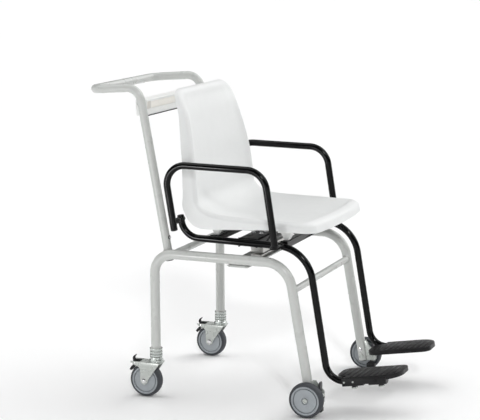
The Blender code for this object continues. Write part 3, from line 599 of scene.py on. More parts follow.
def shell_face(columns, rows, lift=0.0, extra=0.0, bends=9, ease=0):
    """Grid of the shell's sitting face with its rounded edge and flange.
    lift moves it along its normal.  Returns a bmesh of the open surface."""
    ctrl = shell_controls()
    keys = [[*k, *q, *d] for k, q, d in ctrl]
    corner_top, corner_front = 6, 26        # middle of each corner arc
    last = len(keys) - 1

    def sample(t0, t1, count):
        """Evenly spaced along the edge between two curve parameters."""
        dense = [t0 + (t1 - t0) * k / 400 for k in range(401)]
        pts = [Vector(catmull(keys, t)[:3]) for t in dense]
        run = [0.0]
        for a, b in zip(pts, pts[1:]):
            run.append(run[-1] + (b - a).length)
        out, j = [], 0
        for k in range(count + 1):
            want = run[-1] * k / count
            while j < 399 and run[j + 1] < want:
                j += 1
            f = (want - run[j]) / max(run[j + 1] - run[j], 1e-9)
            out.append(dense[j] + (dense[j + 1] - dense[j]) * min(max(f, 0), 1))
        return out

    half = columns // 2
    top = sample(0.0, corner_top, half)
    flank = [corner_top + (corner_front - corner_top) * k / rows for k in range(rows + 1)]
    front = sample(last, corner_front, half)

    def rim(t, mirror):
        v = catmull(keys, t)
        k, q, d = Vector(v[:3]), Vector(v[3:6]), Vector(v[6:9])
        if mirror:
            for w in (k, q, d):
                w.x = -w.x
        p = k + d
        back = (q - k).normalized()
        turned = k + back * min(9.0, (q - k).length * 0.6)
        return p, k, turned, q + back * extra

    top_params = [(t, True) for t in reversed(top)] + [(t, False) for t in top[1:]]
    front_params = [(t, True) for t in reversed(front)] + [(t, False) for t in front[1:]]
    c_top = [rim(t, m)[0] for t, m in top_params]
    c_front = [rim(t, m)[0] for t, m in front_params]
    c_left = [rim(t, True)[0] for t in flank]
    c_right = [rim(t, False)[0] for t in flank]

    def dish(v):
        """Depth of the hollow against the share of the way down the shell."""
        knots = ((0.0, 0.0), (0.1, 6.0), (0.2, 15.0), (0.3, 21.0), (0.42, 23.0), (0.55, 21.0),
                 (0.68, 18.0), (0.8, 17.0), (0.87, 14.0), (0.93, 8.0), (1.0, 0.0))
        slopes = [0.0] + [(c[1] - a[1]) / (c[0] - a[0]) for a, c in zip(knots, knots[2:])] + [0.0]
        for (a, da), (b, db), ma, mb in zip(knots, knots[1:], slopes, slopes[1:]):
            if v <= b:
                h = b - a
                f = (v - a) / h
                return (da * (1 + 2 * f) * (1 - f) ** 2 + ma * h * f * (1 - f) ** 2
                        + db * f * f * (3 - 2 * f) + mb * h * f * f * (f - 1))
        return 0.0

    bm = bmesh.new()
    grid = []
    for j in range(rows + 1):
        v = j / rows
        line = []
        a, b = c_right[max(j - 1, 0)], c_right[min(j + 1, rows)]
        along = Vector((0, b.y - a.y, b.z - a.z)).normalized()
        inward = Vector((0, -along.z, along.y))     # away from the sitter
        for i in range(columns + 1):
            u = i / columns
            coons = ((1 - v) * c_top[i] + v * c_front[i] + (1 - u) * c_left[j] + u * c_right[j]
                     - (1 - u) * (1 - v) * c_top[0] - u * (1 - v) * c_top[-1]
                     - (1 - u) * v * c_front[0] - u * v * c_front[-1])
            hollow = dish(v) * (1 - abs(2 * u - 1) ** 3.2)
            line.append(bm.verts.new(coons + inward * hollow))
        grid.append(line)
    for j in range(rows):
        for i in range(columns):
            bm.faces.new((grid[j][i], grid[j][i + 1], grid[j + 1][i + 1], grid[j + 1][i]))

    face_verts = set(bm.verts)

    # closed loop round the face, then the rounding and the flange
    loop = [(grid[0][i], rim(*top_params[i])) for i in range(columns)]
    loop += [(grid[j][columns], rim(flank[j], False)) for j in range(rows)]
    loop += [(grid[rows][i], rim(*front_params[i])) for i in range(columns, 0, -1)]
    loop += [(grid[j][0], rim(flank[j], True)) for j in range(rows, 0, -1)]
    previous = [vert for vert, _ in loop]
    stages = [(k / bends, None) for k in range(1, bends + 1)] + [(None, k / 4) for k in range(1, 5)]
    band = list(previous)
    for bend, out in stages:
        ring = []
        for _, (p, k, turned, q) in loop:
            if bend is not None:
                point = p * (1 - bend) ** 2 + k * (2 * bend * (1 - bend)) + turned * bend ** 2
            else:
                point = turned * (1 - out) + q * out
            ring.append(bm.verts.new(point))
        for m in range(len(ring)):
            n = (m + 1) % len(ring)
            bm.faces.new((previous[m], ring[m], ring[n], previous[n]))
        previous = ring
        if len(band) < len(loop) * 4:
            band += ring
    if ease:                # melt the line where the face meets its rounded edge
        near = set(band)
        for _ in range(4):
            near |= {e.other_vert(v) for v in list(near) for e in v.link_edges if e.other_vert(v) in face_verts}
        for _ in range(ease):
            bmesh.ops.smooth_vert(bm, verts=list(near), factor=0.5, use_axis_x=True, use_axis_y=True, use_axis_z=True)
    bmesh.ops.recalc_face_normals(bm, faces=bm.faces)
    bm.normal_update()
    middle = grid[rows // 2][columns // 2]
    if middle.normal.z < 0:
        bmesh.ops.reverse_faces(bm, faces=bm.faces)
        bm.normal_update()
    if lift:
        moves = [(v, v.normal.copy()) for v in bm.verts]
        for v, n in moves:
            v.co = v.co + n * lift
    return bm


def thicken(bm, above, below):
    """Closed solid between the surface moved by above and by -below."""
    bm.normal_update()
    verts = list(bm.verts)
    faces = [[v.index for v in f.verts] for f in bm.faces]
    bm.verts.index_update()
    faces = [[v.index for v in f.verts] for f in bm.faces]
    edges = [(e.verts[0].index, e.verts[1].index, e.link_faces[0]) for e in bm.edges if len(e.link_faces) == 1]
    out = bmesh.new()
    top = [out.verts.new(v.co + v.normal * above) for v in verts]
    low = [out.verts.new(v.co - v.normal * below) for v in verts]
    for f in faces:
        out.faces.new([top[k] for k in f])
        out.faces.new([low[k] for k in reversed(f)])
    for a, b, face in edges:
        order = [v.index for v in face.verts]
        if order[(order.index(a) + 1) % len(order)] != b:
            a, b = b, a
        out.faces.new((top[b], top[a], low[a], low[b]))
    bm.free()
    return out

def crossing(x_side, y0, z0, r, axis_y, axis_z, direction, big=FRAME_R, lift=0.4):
    """Where a bar along X meets a side-frame tube: points of the seam."""
    dy, dz = direction
    n = math.hypot(dy, dz)
    dy, dz = dy / n, dz / n
    s = math.copysign(1, x_side)
    out = []
    for k in range(72):
        t = 2 * math.pi * k / 72
        y, z = y0 + (r + lift) * math.cos(t), z0 + (r + lift) * math.sin(t)
        off = (y - axis_y) * dz - (z - axis_z) * dy
        out.append((s * (FRAME_X - math.sqrt(max(big ** 2 - off ** 2, 0.0)) - lift), y, z))
    return out


# ---------------------------------------------------------------- side frames
def side_frame_path(x, low=0.0, turn=4.0):
    return fillet(
        [(x, REAR_LEG_Y, REAR_LEG_END - low), (x, REAR_LEG_Y, 428.1),
         (x, -208.9, 426.8), (x, leg_y(FRONT_LEG_END - low), FRONT_LEG_END - low)],
        [58, 80], turn)


foot_down = Vector((0, -LEG_SLOPE, -1)).normalized()
for side, s in SIDES:
    x = s * FRAME_X
    piece("frame_tube_" + side, tube(side_frame_path(x), FRAME_R, 48), "frame_paint",
          nodes=["side_frame_" + side])
    piece("leg_plug_" + side, turned_mesh(
        (x, leg_y(FRONT_LEG_END), FRONT_LEG_END), foot_down,
        soft([(0, -3), (13.9, -3), (13.9, 1.6), (9, 3.4), (0, 3.6)], 0.7), 40), "brake_plastic")

# ---------------------------------------------------------------- push handle
post_foot = (209.4 + 0.182 * (405 - 650), 405.0)
handle_path = fillet(
    [(-HANDLE_X, *post_foot), (-HANDLE_X, 254.9, 900.5), (-HANDLE_X, HANDLE_BAR_Y, 889.4),
     (HANDLE_X, HANDLE_BAR_Y, 889.4), (HANDLE_X, 254.9, 900.5), (HANDLE_X, *post_foot)],
    [45, 42, 42, 45], 4.0)
piece("handle_tube", tube(handle_path, HANDLE_R, 44), "frame_paint", nodes=["push_handle"])
post_down = Vector((0, -0.182, -1)).normalized()
for side, s in SIDES:
    piece("post_plug_" + side, turned_mesh(
        (s * HANDLE_X, *post_foot), post_down, soft([(0, -3), (11.6, -3), (11.6, 1.2), (8, 2.4), (0, 2.6)], 0.5), 32),
        "brake_plastic")
    # seam where the post is welded to the side frame
    yc = 209.4 + 0.182 * (427.5 - 650)
    ring = []
    for k in range(40):
        t = 2 * math.pi * k / 40
        ring.append((s * 224.3, yc + 9.5 * math.cos(t), 427.5 + 9.5 * math.sin(t)))
    bead("post_weld_" + side, ring, size=2.6)

# ---------------------------------------------------------------- cross tubes
piece("rear_tube", tube([(-228, 145.5, 427), (228, 145.5, 427)], 10, 40), "frame_paint", nodes=["rear_cross_tube"])
piece("front_bar", tube([(-228, -222.5, 349.5), (228, -222.5, 349.5)], 9.75, 40), "frame_paint",
      nodes=["front_cross_bar"])
for side, s in SIDES:
    bead("rear_tube_weld_" + side, crossing(s, 145.5, 427, 10, 145.5, 428, (1, 0)))
    bead("front_bar_weld_" + side, crossing(s, -222.5, 349.5, 9.75, leg_y(349.5), 349.5, (LEG_SLOPE, 1)))

# ---------------------------------------------------- channel under the rails
channel = profile_x(
    [(-19.6, 412.8), (-19.6, 409.6), (-28.6, 403.6), (-86.4, 403.6), (-95.4, 409.6), (-95.4, 412.8),
     (-92.2, 412.8), (-92.2, 411.2), (-84.9, 406.4), (-30.1, 406.4), (-22.8, 411.2), (-22.8, 412.8)],
    -FRAME_X + 4, FRAME_X - 4)
channel = raw("channel_cut", channel)
for _, s in SIDES:      # each lip ends short of the tube
    for y in (-100, -28.5):
        combine(channel, raw("lip_cut", box_mesh(sorted((s * 213, s * 260)), (y, y + 13.5), (407.6, 420))))
channel.name = "base_channel_section"
for side, s in SIDES:
    piece("channel_end_plate_" + side, soften(profile_x(
        [(-30.6, 406.0), (-84.4, 406.0), (-89.6, 409.0), (-25.4, 409.0)], s * (FRAME_X - 6.4), s * (FRAME_X - 4.6)), 0.3),
        "frame_paint")
dress(channel, "frame_paint", "frame", ["base_channel"], bevel=0.7, segments=3)
for side, s in SIDES:
    for y in (-84, -31):
        line = [(s * 226.5, y, 409.2), (s * 240, y, 409.2), (s * 240, y + 0.6, 409.2), (s * 226.5, y + 0.6, 409.2)]
        bead(f"channel_weld_{side}_{'front' if y < -50 else 'rear'}", line, size=2.2)

# ------------------------------------------------------------------ load cell
piece("cell_foot", soften(box_mesh((-118, 118), (-83, -50), (407.0, 419.7)), 0.8, 3), "cell_aluminium",
      nodes=["cell_foot_plate"])
cell = raw("load_cell_body", soften(prism_mesh(
    [(-118, -87, 425), (62, -87, 425), (62, -87, 420), (118, -87, 420),
     (118, -87, 440), (-118, -87, 440)], (0, 37, 0)), 0.8, 3))
for cx in (-14, 14):
    combine(cell, raw("bore", rod_mesh((cx, -68, 432.5), (0, 1, 0), 5, -25, 25, 40)))
combine(cell, raw("slot", box_mesh((-14, 14), (-95, -40), (431, 434))))
dress(cell, "cell_aluminium", "frame", ["load_cell"])
piece("cell_potting", soften(join(*[rod_mesh((cx, -68, 432.5), (0, 1, 0), 4.8, -14, 14, 32) for cx in (-14, 14)]), 0.3),
      "button_mark")
bolt_spots = [(bx, by) for bx in (-110, -77) for by in (-79, -54)]
piece("cell_head", soften(box_mesh((-122, -64), (-88, -50), (440.3, 476.6)), 1.0, 3), "cell_aluminium",
      nodes=["cell_head_plate"])
piece("cell_bolts", join(*[hex_head((bx, by, 480.2), (0, 0, 1), 10, 3.6, washer=6.4) for bx, by in bolt_spots]),
      "chrome_steel")
piece("cell_foot_bolts", join(*[hex_head((bx, by, 403.6), (0, 0, -1), 10, 4.2, washer=6.4)
                                for bx in (74, 106) for by in (-79, -54)]), "chrome_steel")
piece("top_channel_section", soften(profile_x(
    [(-98, 455), (-98, 480), (-42, 480), (-42, 455), (-44.6, 455), (-44.6, 477.2),
     (-95.4, 477.2), (-95.4, 455)], -191.5, 191.5), 1.0, 3), "black_paint", nodes=["top_channel"])

# ----------------------------------------------------------------- seat rails
stub_dir = Vector((0, -1, STUB_SLOPE)).normalized()
stub_up = Vector((0, STUB_SLOPE, 1)).normalized()


def stub_point(x, s, h):
    return Vector((x, STUB_CORNER[0], STUB_CORNER[1])) + stub_dir * s + stub_up * h


def seat_rail_path(x, turn=4.0):
    end = stub_point(x, STUB_LENGTH, 0)
    return fillet(
        [(x, PIVOT_Y + 1.8, PIVOT_Z + 11), (x, 123.2, 473.8), (x, -253.7, 466.0),
         (x, *STUB_CORNER), tuple(end)], [56, 105, 52], turn)


for side, s in SIDES:
    x = s * SEAT_RAIL_X
    path = seat_rail_path(x)
    piece("seat_rail_tube_" + side, tube(path, SEAT_RAIL_R, 40), "black_paint", nodes=["seat_rail_" + side])
    top_dir = (Vector(path[0]) - Vector(path[1])).normalized()
    piece("seat_rail_plug_" + side, turned_mesh(path[0], top_dir, soft(
        [(0, -2), (9.2, -2), (9.2, 0.8), (6, 2.0), (0, 2.2)], 0.5), 32), "brake_plastic")
    pivot = (0, PIVOT_Y, PIVOT_Z)
    piece("armrest_collar_" + side, turned_mesh(pivot, (s, 0, 0), soft([
        (5.4, 212.4), (8.5, 212.4), (8.5, 246), (7, 247.8), (5.4, 247.8)], 0.5), 40), "black_paint",
        nodes=["armrest_pivot_" + side])
    ring = [(s * 213.0, PIVOT_Y + 8.9 * math.cos(t), PIVOT_Z + 8.9 * math.sin(t))
            for t in (2 * math.pi * k / 40 for k in range(40))]
    bead("collar_weld_" + side, ring, "weld_black", 1.6)
    stop = prism_mesh([(s * px, py, 467.5) for px, py in rounded(
        [(206, -188), (270, -188), (270, -164), (206, -164)], [0, 8, 8, 0], 10)], (0, 0, 8.4))
    piece("stop_plate_" + side, soften(stop, 1.2, 3, keep=lambda e: True), "black_paint",
          nodes=["armrest_stop_" + side])
    piece("stop_pad_" + side, turned_mesh((s * ARM_X, -177.0, 475.9), (0, 0, 1), soft(
        [(0, -1), (10.6, -1), (11, 0.2), (9.0, 1.5), (0, 1.6)], 0.4), 40), "brake_plastic")

# ----------------------------------------------------------------- seat shell
piece("shell_moulding", thicken(shell_face(72, 120, ease=1), 0.0, SHELL_WALL), "shell_plastic",
      nodes=["seat_shell"], smooth=60, bevel=1.7, segments=3, angle=50)


def under_shell():
    """The shell and the space just above it, down to a little under its wall."""
    return thicken(shell_face(36, 60, extra=3.0, bends=5, ease=2), 14.0, SHELL_WALL + GAP + 0.1)


# ------------------------------------------------- cross members and brackets
for name, y0, y1, za, zb in (("rear_cross_member", 24, 46, 462, 482), ("front_cross_member", -190, -170, 459, 480)):
    piece(name + "_section", profile_x(
        rounded([(y0, za), (y0, zb), (y1, zb), (y1, za)], [3, 3, 3, 3], 15), -191.8, 191.8), "black_paint",
        nodes=[name])
    middle, height = (y0 + y1) / 2, (za + zb) / 2
    for side, s in SIDES:
        ring = [(s * 192.0, middle + 10.6 * c, height + 10.2 * t) for c, t in rounded(
            [(-1, -1), (-1, 1), (1, 1), (1, -1)], [0.35] * 4, 15)]
        bead(f"{name}_weld_{side}", ring, "weld_black", 1.7)
for side, s in SIDES:
    ring = [(s * 192.0, y, z) for y, z in ((-98, 456), (-98, 480), (-42, 480), (-42, 456), (-45, 456), (-45, 478),
                                           (-95, 478), (-95, 456))]
    bead("channel_rail_weld_" + side, ring, "weld_black", 1.5)


def frustum(x0, x1, y0, y1, za, X0, X1, Y0, Y1, zb):
    """Four-sided block between a rectangle at za and one at zb."""
    bm = bmesh.new()
    low = [bm.verts.new(p) for p in ((x0, y0, za), (x1, y0, za), (x1, y1, za), (x0, y1, za))]
    top = [bm.verts.new(p) for p in ((X0, Y0, zb), (X1, Y0, zb), (X1, Y1, zb), (X0, Y1, zb))]
    for k in range(4):
        m = (k + 1) % 4
        bm.faces.new((low[k], low[m], top[m], top[k]))
    bm.faces.new(low[::-1])
    bm.faces.new(top)
    return bm


def seat_bracket(node, y0, y1, foot, base, x_foot, x_bar):
    """Bar under the pan with a foot near each end that narrows downwards."""
    obj = raw(node + "_casting", soften(box_mesh((-x_bar, x_bar), (y0 + 4, y1 - 4), (503, 536)), 1.5, 3))
    for _, s in SIDES:
        xa, xb = sorted((s * x_foot[0], s * x_foot[1]))
        combine(obj, raw("foot", soften(frustum(
            xa + 6, xb - 6, foot - 5, foot + 5, base, xa, xb, y0 + 2, y1 - 2, 515), 1.5, 3)), "UNION")
    combine(obj, raw("shell_space", under_shell()))
    return dress(obj, "housing_plastic", "frame", [node])


seat_bracket("rear_seat_bracket", 8, 50, 31, 482.3, (160, 190), 195)
seat_bracket("front_seat_bracket", -206, -158, -182, 480.3, (150, 186), 195)
for side, s in SIDES:
    piece("bracket_bolts_" + side, join(
        hex_head((s * 175, 31, 461.8), (0, 0, -1), 10, 4, washer=7),
        hex_head((s * 168, -182, 458.8), (0, 0, -1), 10, 4, washer=7)), "chrome_steel")

# ------------------------------------------------------------------- armrests
for side, s in SIDES:
    x = s * ARM_X
    body = "armrest_" + side
    low_rear = (x, 135.7 + 0.1646 * (506 - 550), 506)
    low_front = (x, -166.6 + 0.1562 * (478 - 550), 478)
    path = fillet([low_rear, (x, 158.9, 690.9), (x, -145.4, 685.7), low_front], [56, 60], 4.0)
    hinge = (x, PIVOT_Y, PIVOT_Z)
    piece("armrest_tube_" + side, join(
        tube(path, ARM_R, 44),
        turned_mesh((0, PIVOT_Y, PIVOT_Z), (s, 0, 0), [(0, 188), (5, 188), (5, ARM_X), (0, ARM_X)], 32)),
        "black_paint", body, ["armrest_" + side], origin=hinge)
    down = Vector((0, -0.1646, -1)).normalized()
    piece("armrest_end_" + side, turned_mesh(low_rear, down, soft(
        [(0, -6), (9.2, -6), (9.2, 0.3), (10.3, 0.3), (10.3, 2.6), (8, 5.4), (0, 6.6)], 0.6), 40),
        "brake_plastic", body, ["armrest_cap_" + side], origin=hinge)
    front_down = Vector((0, -0.1562, -1)).normalized()
    piece("armrest_tip_" + side, turned_mesh(low_front, front_down, soft(
        [(0, -3), (9.6, -3), (9.6, 0.2), (0, 0.3)], 0.3), 40), "brake_plastic", body, origin=hinge)
    piece("armrest_hinge_nut_" + side, hex_head((s * 188.6, PIVOT_Y, PIVOT_Z), (-s, 0, 0), 9.5, 3.4, washer=7.4),
          "chrome_steel", body, origin=hinge)

# ----------------------------------------------------------------- footplates
for side, s in SIDES:
    def plate_point(px, along, h):
        return stub_point(s * px, along, h)

    body = "footplate_" + side
    axis_point = stub_point(s * SEAT_RAIL_X, 0, 0)
    outline = rounded(
        [(98, 17), (98, 210.5), (211, 210.5), (211, 50), (188, 50), (188, 17)],
        [25, 22, 56, 0, 0, 32], turn=6)
    bottom = PLATE_TOP - PLATE_THICK
    plate = prism_mesh([plate_point(px, al, bottom) for px, al in outline], stub_up * PLATE_THICK)
    obj = raw("footplate_moulding_" + side, soften(plate, 2.0, 4, angle=50), tuple(axis_point))
    sleeve_half = rounded([(188.6, 9), (188.6, -13.4), (215.5, -13.4), (215.5, 9)], [0, 9, 5, 0], 10)
    sleeve = prism_mesh([plate_point(px, 44, h) for px, h in sleeve_half], stub_dir * 129)
    combine(obj, raw("sleeve", soften(sleeve, 0.9, 2), tuple(axis_point)), "UNION")
    for al in (76, 155):
        combine(obj, raw("boss", turned_mesh(stub_point(s * SEAT_RAIL_X, al, 0), -stub_up, soft(
            [(0, 11), (8, 11), (8, 18), (6.5, 21.2), (0, 21.2)], 0.5, 30), 32), tuple(axis_point)), "UNION")
    cells = []
    for i in range(3):
        for j in range(7):
            xa, ya = 109 + i * 25.5, 29 + j * 24.6
            cells.append(prism_mesh([plate_point(*p, bottom - 1) for p in rounded(
                [(xa, ya), (xa, ya + 21.6), (xa + 22.5, ya + 21.6), (xa + 22.5, ya)], [3] * 4, 45)], stub_up * 9.5))
    combine(obj, raw("pockets", join(*cells), tuple(axis_point)))
    notch = prism_mesh([plate_point(px, 106, h) for px, h in ((180, -8.4), (220, -8.4), (220, -20), (180, -20))],
                       stub_dir * 16)
    combine(obj, raw("notch", notch, tuple(axis_point)))
    combine(obj, raw("bore", rod_mesh(axis_point, stub_dir, SEAT_RAIL_R + 0.4, 30, 170.4, 40), tuple(axis_point)))
    combine(obj, raw("mouth", rod_mesh(axis_point, stub_dir, 11.6, 30, 52, 40), tuple(axis_point)))
    dress(obj, "plate_plastic", body, ["footplate_" + side])
    ribs = []
    for k in range(10):
        al = 35 + 17.2 * k
        x0, x1 = 104.0, 205.0 if al > 56 else 180.0
        if al > 165:        # follow the large outer corner
            x1 = 155 + math.sqrt(max(50.0 ** 2 - (al - 154.5) ** 2, 0)) - 2
        if al > 188:
            x0 = 120 - math.sqrt(max(18.0 ** 2 - (al - 188.5) ** 2, 0)) + 2
        if al < 42:
            x0 = 123 - math.sqrt(max(20.0 ** 2 - (42 - al) ** 2, 0)) + 1
        if x1 - x0 > 12 and al < 203:
            ribs.append(soften(prism_mesh([plate_point(*p, PLATE_TOP - 0.3) for p in (
                (x0, al - 4.4), (x0, al + 4.4), (x1, al + 4.4), (x1, al - 4.4))], stub_up * 0.85), 0.4, 2))
    piece("footplate_ribs_" + side, join(*ribs), "plate_plastic", body, origin=tuple(axis_point))
    outer = Vector((s, 0, 0))
    piece("footplate_screws_" + side, join(
        *[socket_screw(stub_point(s * 215.2, al, -1), outer, 3.6, 1.1) for al in (144,)]),
        "black_paint", body, origin=tuple(axis_point))
    piece("footplate_nuts_" + side, join(
        *[socket_screw(stub_point(s * 215.2, al, -1), outer, 2.7, 1.0) for al in (51, 77)],
        *[hex_head(stub_point(s * SEAT_RAIL_X, al, -17.2), -stub_up, 15.5, 4.8) for al in (76, 155)]),
        "zinc_steel", body, origin=tuple(axis_point))
    piece("rail_end_plug_" + side, turned_mesh(stub_point(s * SEAT_RAIL_X, STUB_LENGTH, 0), stub_dir, soft(
        [(0, -3), (9.4, -3), (9.4, 0.2), (0, 0.3)], 0.2), 32), "brake_plastic")


# --------------------------------------------------------------------- wheels
def wheel(prefix, side, x, y, radius, outward):
    """Crowned tyre on a moulded disc with a ring groove in each face."""
    centre = (x, y, radius)
    axis = (outward, 0, 0)
    body = ("front_wheel_" if prefix == "front" else "rear_wheel_") + side
    half, k = TYRE_HALF, radius / 50.0
    crown = [(41.4, 14.3), (42.4, 14.9), (44.0, 15.0), (45.6, 14.1), (47.0, 12.6), (48.3, 10.2), (49.2, 7.4),
             (49.75, 4.0), (49.95, 1.2)]
    tread = [(r * k, -a) for r, a in crown] + [(r * k, a) for r, a in reversed(crown)]
    piece(f"{prefix}_tyre_ring_{side}", turned_mesh(centre, axis, tread, 96), "tyre_rubber", body,
          [f"{prefix}_tyre_{side}"], origin=centre, smooth=60)
    face = half - 2.0
    steps = [(41.2, 0.9), (38.2, 0.9), (37.4, 0.2), (36.3, 0.0), (35.9, -4.6), (33.6, -4.6), (33.2, -0.4),
             (15.0, -1.2), (12.2, -0.2)]
    profile = ([(4.5, -half + 0.3), (9.4, -half + 0.3), (10.6, -face + 0.2)]
               + [(r * k, -face - a) for r, a in reversed(steps[:-1])]
               + [(41.5 * k, -face + 1.5), (41.5 * k, face - 1.5)]
               + [(r * k, face + a) for r, a in steps]
               + [(10.6, face + 0.1), (9.4, face - 3.2), (4.5, face - 3.2)])
    piece(f"{prefix}_disc_{side}", turned_mesh(centre, axis, profile, 96), "hub_plastic", body,
          [f"{prefix}_hub_{side}"], origin=centre, smooth=38, bevel=0.4, segments=2, angle=30)


for side, s in SIDES:
    wheel("front", side, s * FRONT_WHEEL_X, FRONT_WHEEL_Y, FRONT_R, s)
    wheel("rear", side, s * FRAME_X, REAR_WHEEL_Y, REAR_R, s)
    centre = (0, FRONT_WHEEL_Y, FRONT_R)
    piece("front_axle_bolt_" + side, join(
        hex_head((s * 224.6, FRONT_WHEEL_Y, FRONT_R), (-s, 0, 0), 12.5, 4.2, washer=8.2),
        turned_mesh(centre, (s, 0, 0), soft([(0, 222), (4, 222), (4, 279), (0, 279)], 0.2), 24),
        turned_mesh(centre, (s, 0, 0), soft([(4.2, 253.2), (9.0, 253.2), (9.0, 254.0), (4.2, 254.0)], 0.2, 45), 40),
        socket_screw((s * 279.0, FRONT_WHEEL_Y, FRONT_R), (s, 0, 0), 7.0, 4.4)), "zinc_steel",
        nodes=["front_axle_" + side])

# ------------------------------------------------------------- front brakes
for side, s in SIDES:
    back = [(leg_y(z) - 14.4, z) for z in (39, 98)]
    cheek = rounded([back[0], back[1], (-291, 98), (-299, 86), (-316, 70), (-316, 39)],
                    [0, 0, 3, 6, 6, 3], 15)
    web = [back[0], back[1], (back[1][0] - 2.5, 98), (back[0][0] - 2.5, 39)]
    pivot = (s * 239, -303, 54)
    piece("brake_bracket_plate_" + side, join(
        soften(profile_x(web, s * 229.3, s * 248.7), 0.5),
        soften(profile_x(cheek, s * 229, s * 231.5), 0.5),
        soften(box_mesh(sorted((s * 229.3, s * 249)), (-316.2, -313.5), (39.3, 66)), 0.5)),
        "zinc_steel", nodes=["brake_bracket_" + side])
    piece("brake_bracket_bolts_" + side, join(
        hex_head((s * 225.3, leg_y(70), 70), (-s, 0, 0), 9, 3.2, washer=6.4),
        hex_head((s * 239, -316.2, 54), (0, -1, 0), 7, 0.9)), "chrome_steel")
    body = "front_brake_" + side
    lever = soften(prism_mesh([(s * px, -309.2, pz) for px, pz in rounded(
        [(233, 55), (233, 98), (250, 98), (250, 55)], [0, 5, 5, 0], 15)], (0, 3.8, 0)), 0.9, 3, angle=50)
    piece("front_brake_lever_" + side, join(
        soften(box_mesh(sorted((s * 233.5, s * 247)), (-311, -297), (47, 61)), 1.5, 3),
        lever,
        soften(box_mesh(sorted((s * 234, s * 246)), (-308.5, -299), (22, 50)), 1.2, 3),
        soften(profile_x(rounded([(-314, 12), (-314, 27), (-289, 29), (-289, 12)], [3, 4, 4, 6], 12),
                         s * 233, s * 251.3), 0.8, 2),
        turned_mesh((s * 239, -303, 54), (0, 1, 0), soft([(0, -15), (3, -15), (3, 11), (0, 11)], 0.3), 24)),
        "brake_plastic", body, ["front_brake_" + side], origin=pivot)
    piece("front_brake_tip_" + side, soften(prism_mesh([(s * px, -310.0, pz) for px, pz in rounded(
        [(232.4, 78), (232.4, 98.6), (250.6, 98.6), (250.6, 78)], [3, 5.5, 5.5, 3], 15)], (0, 5.4, 0)), 1.4, 3,
        angle=50), "lever_plastic", body, origin=pivot)

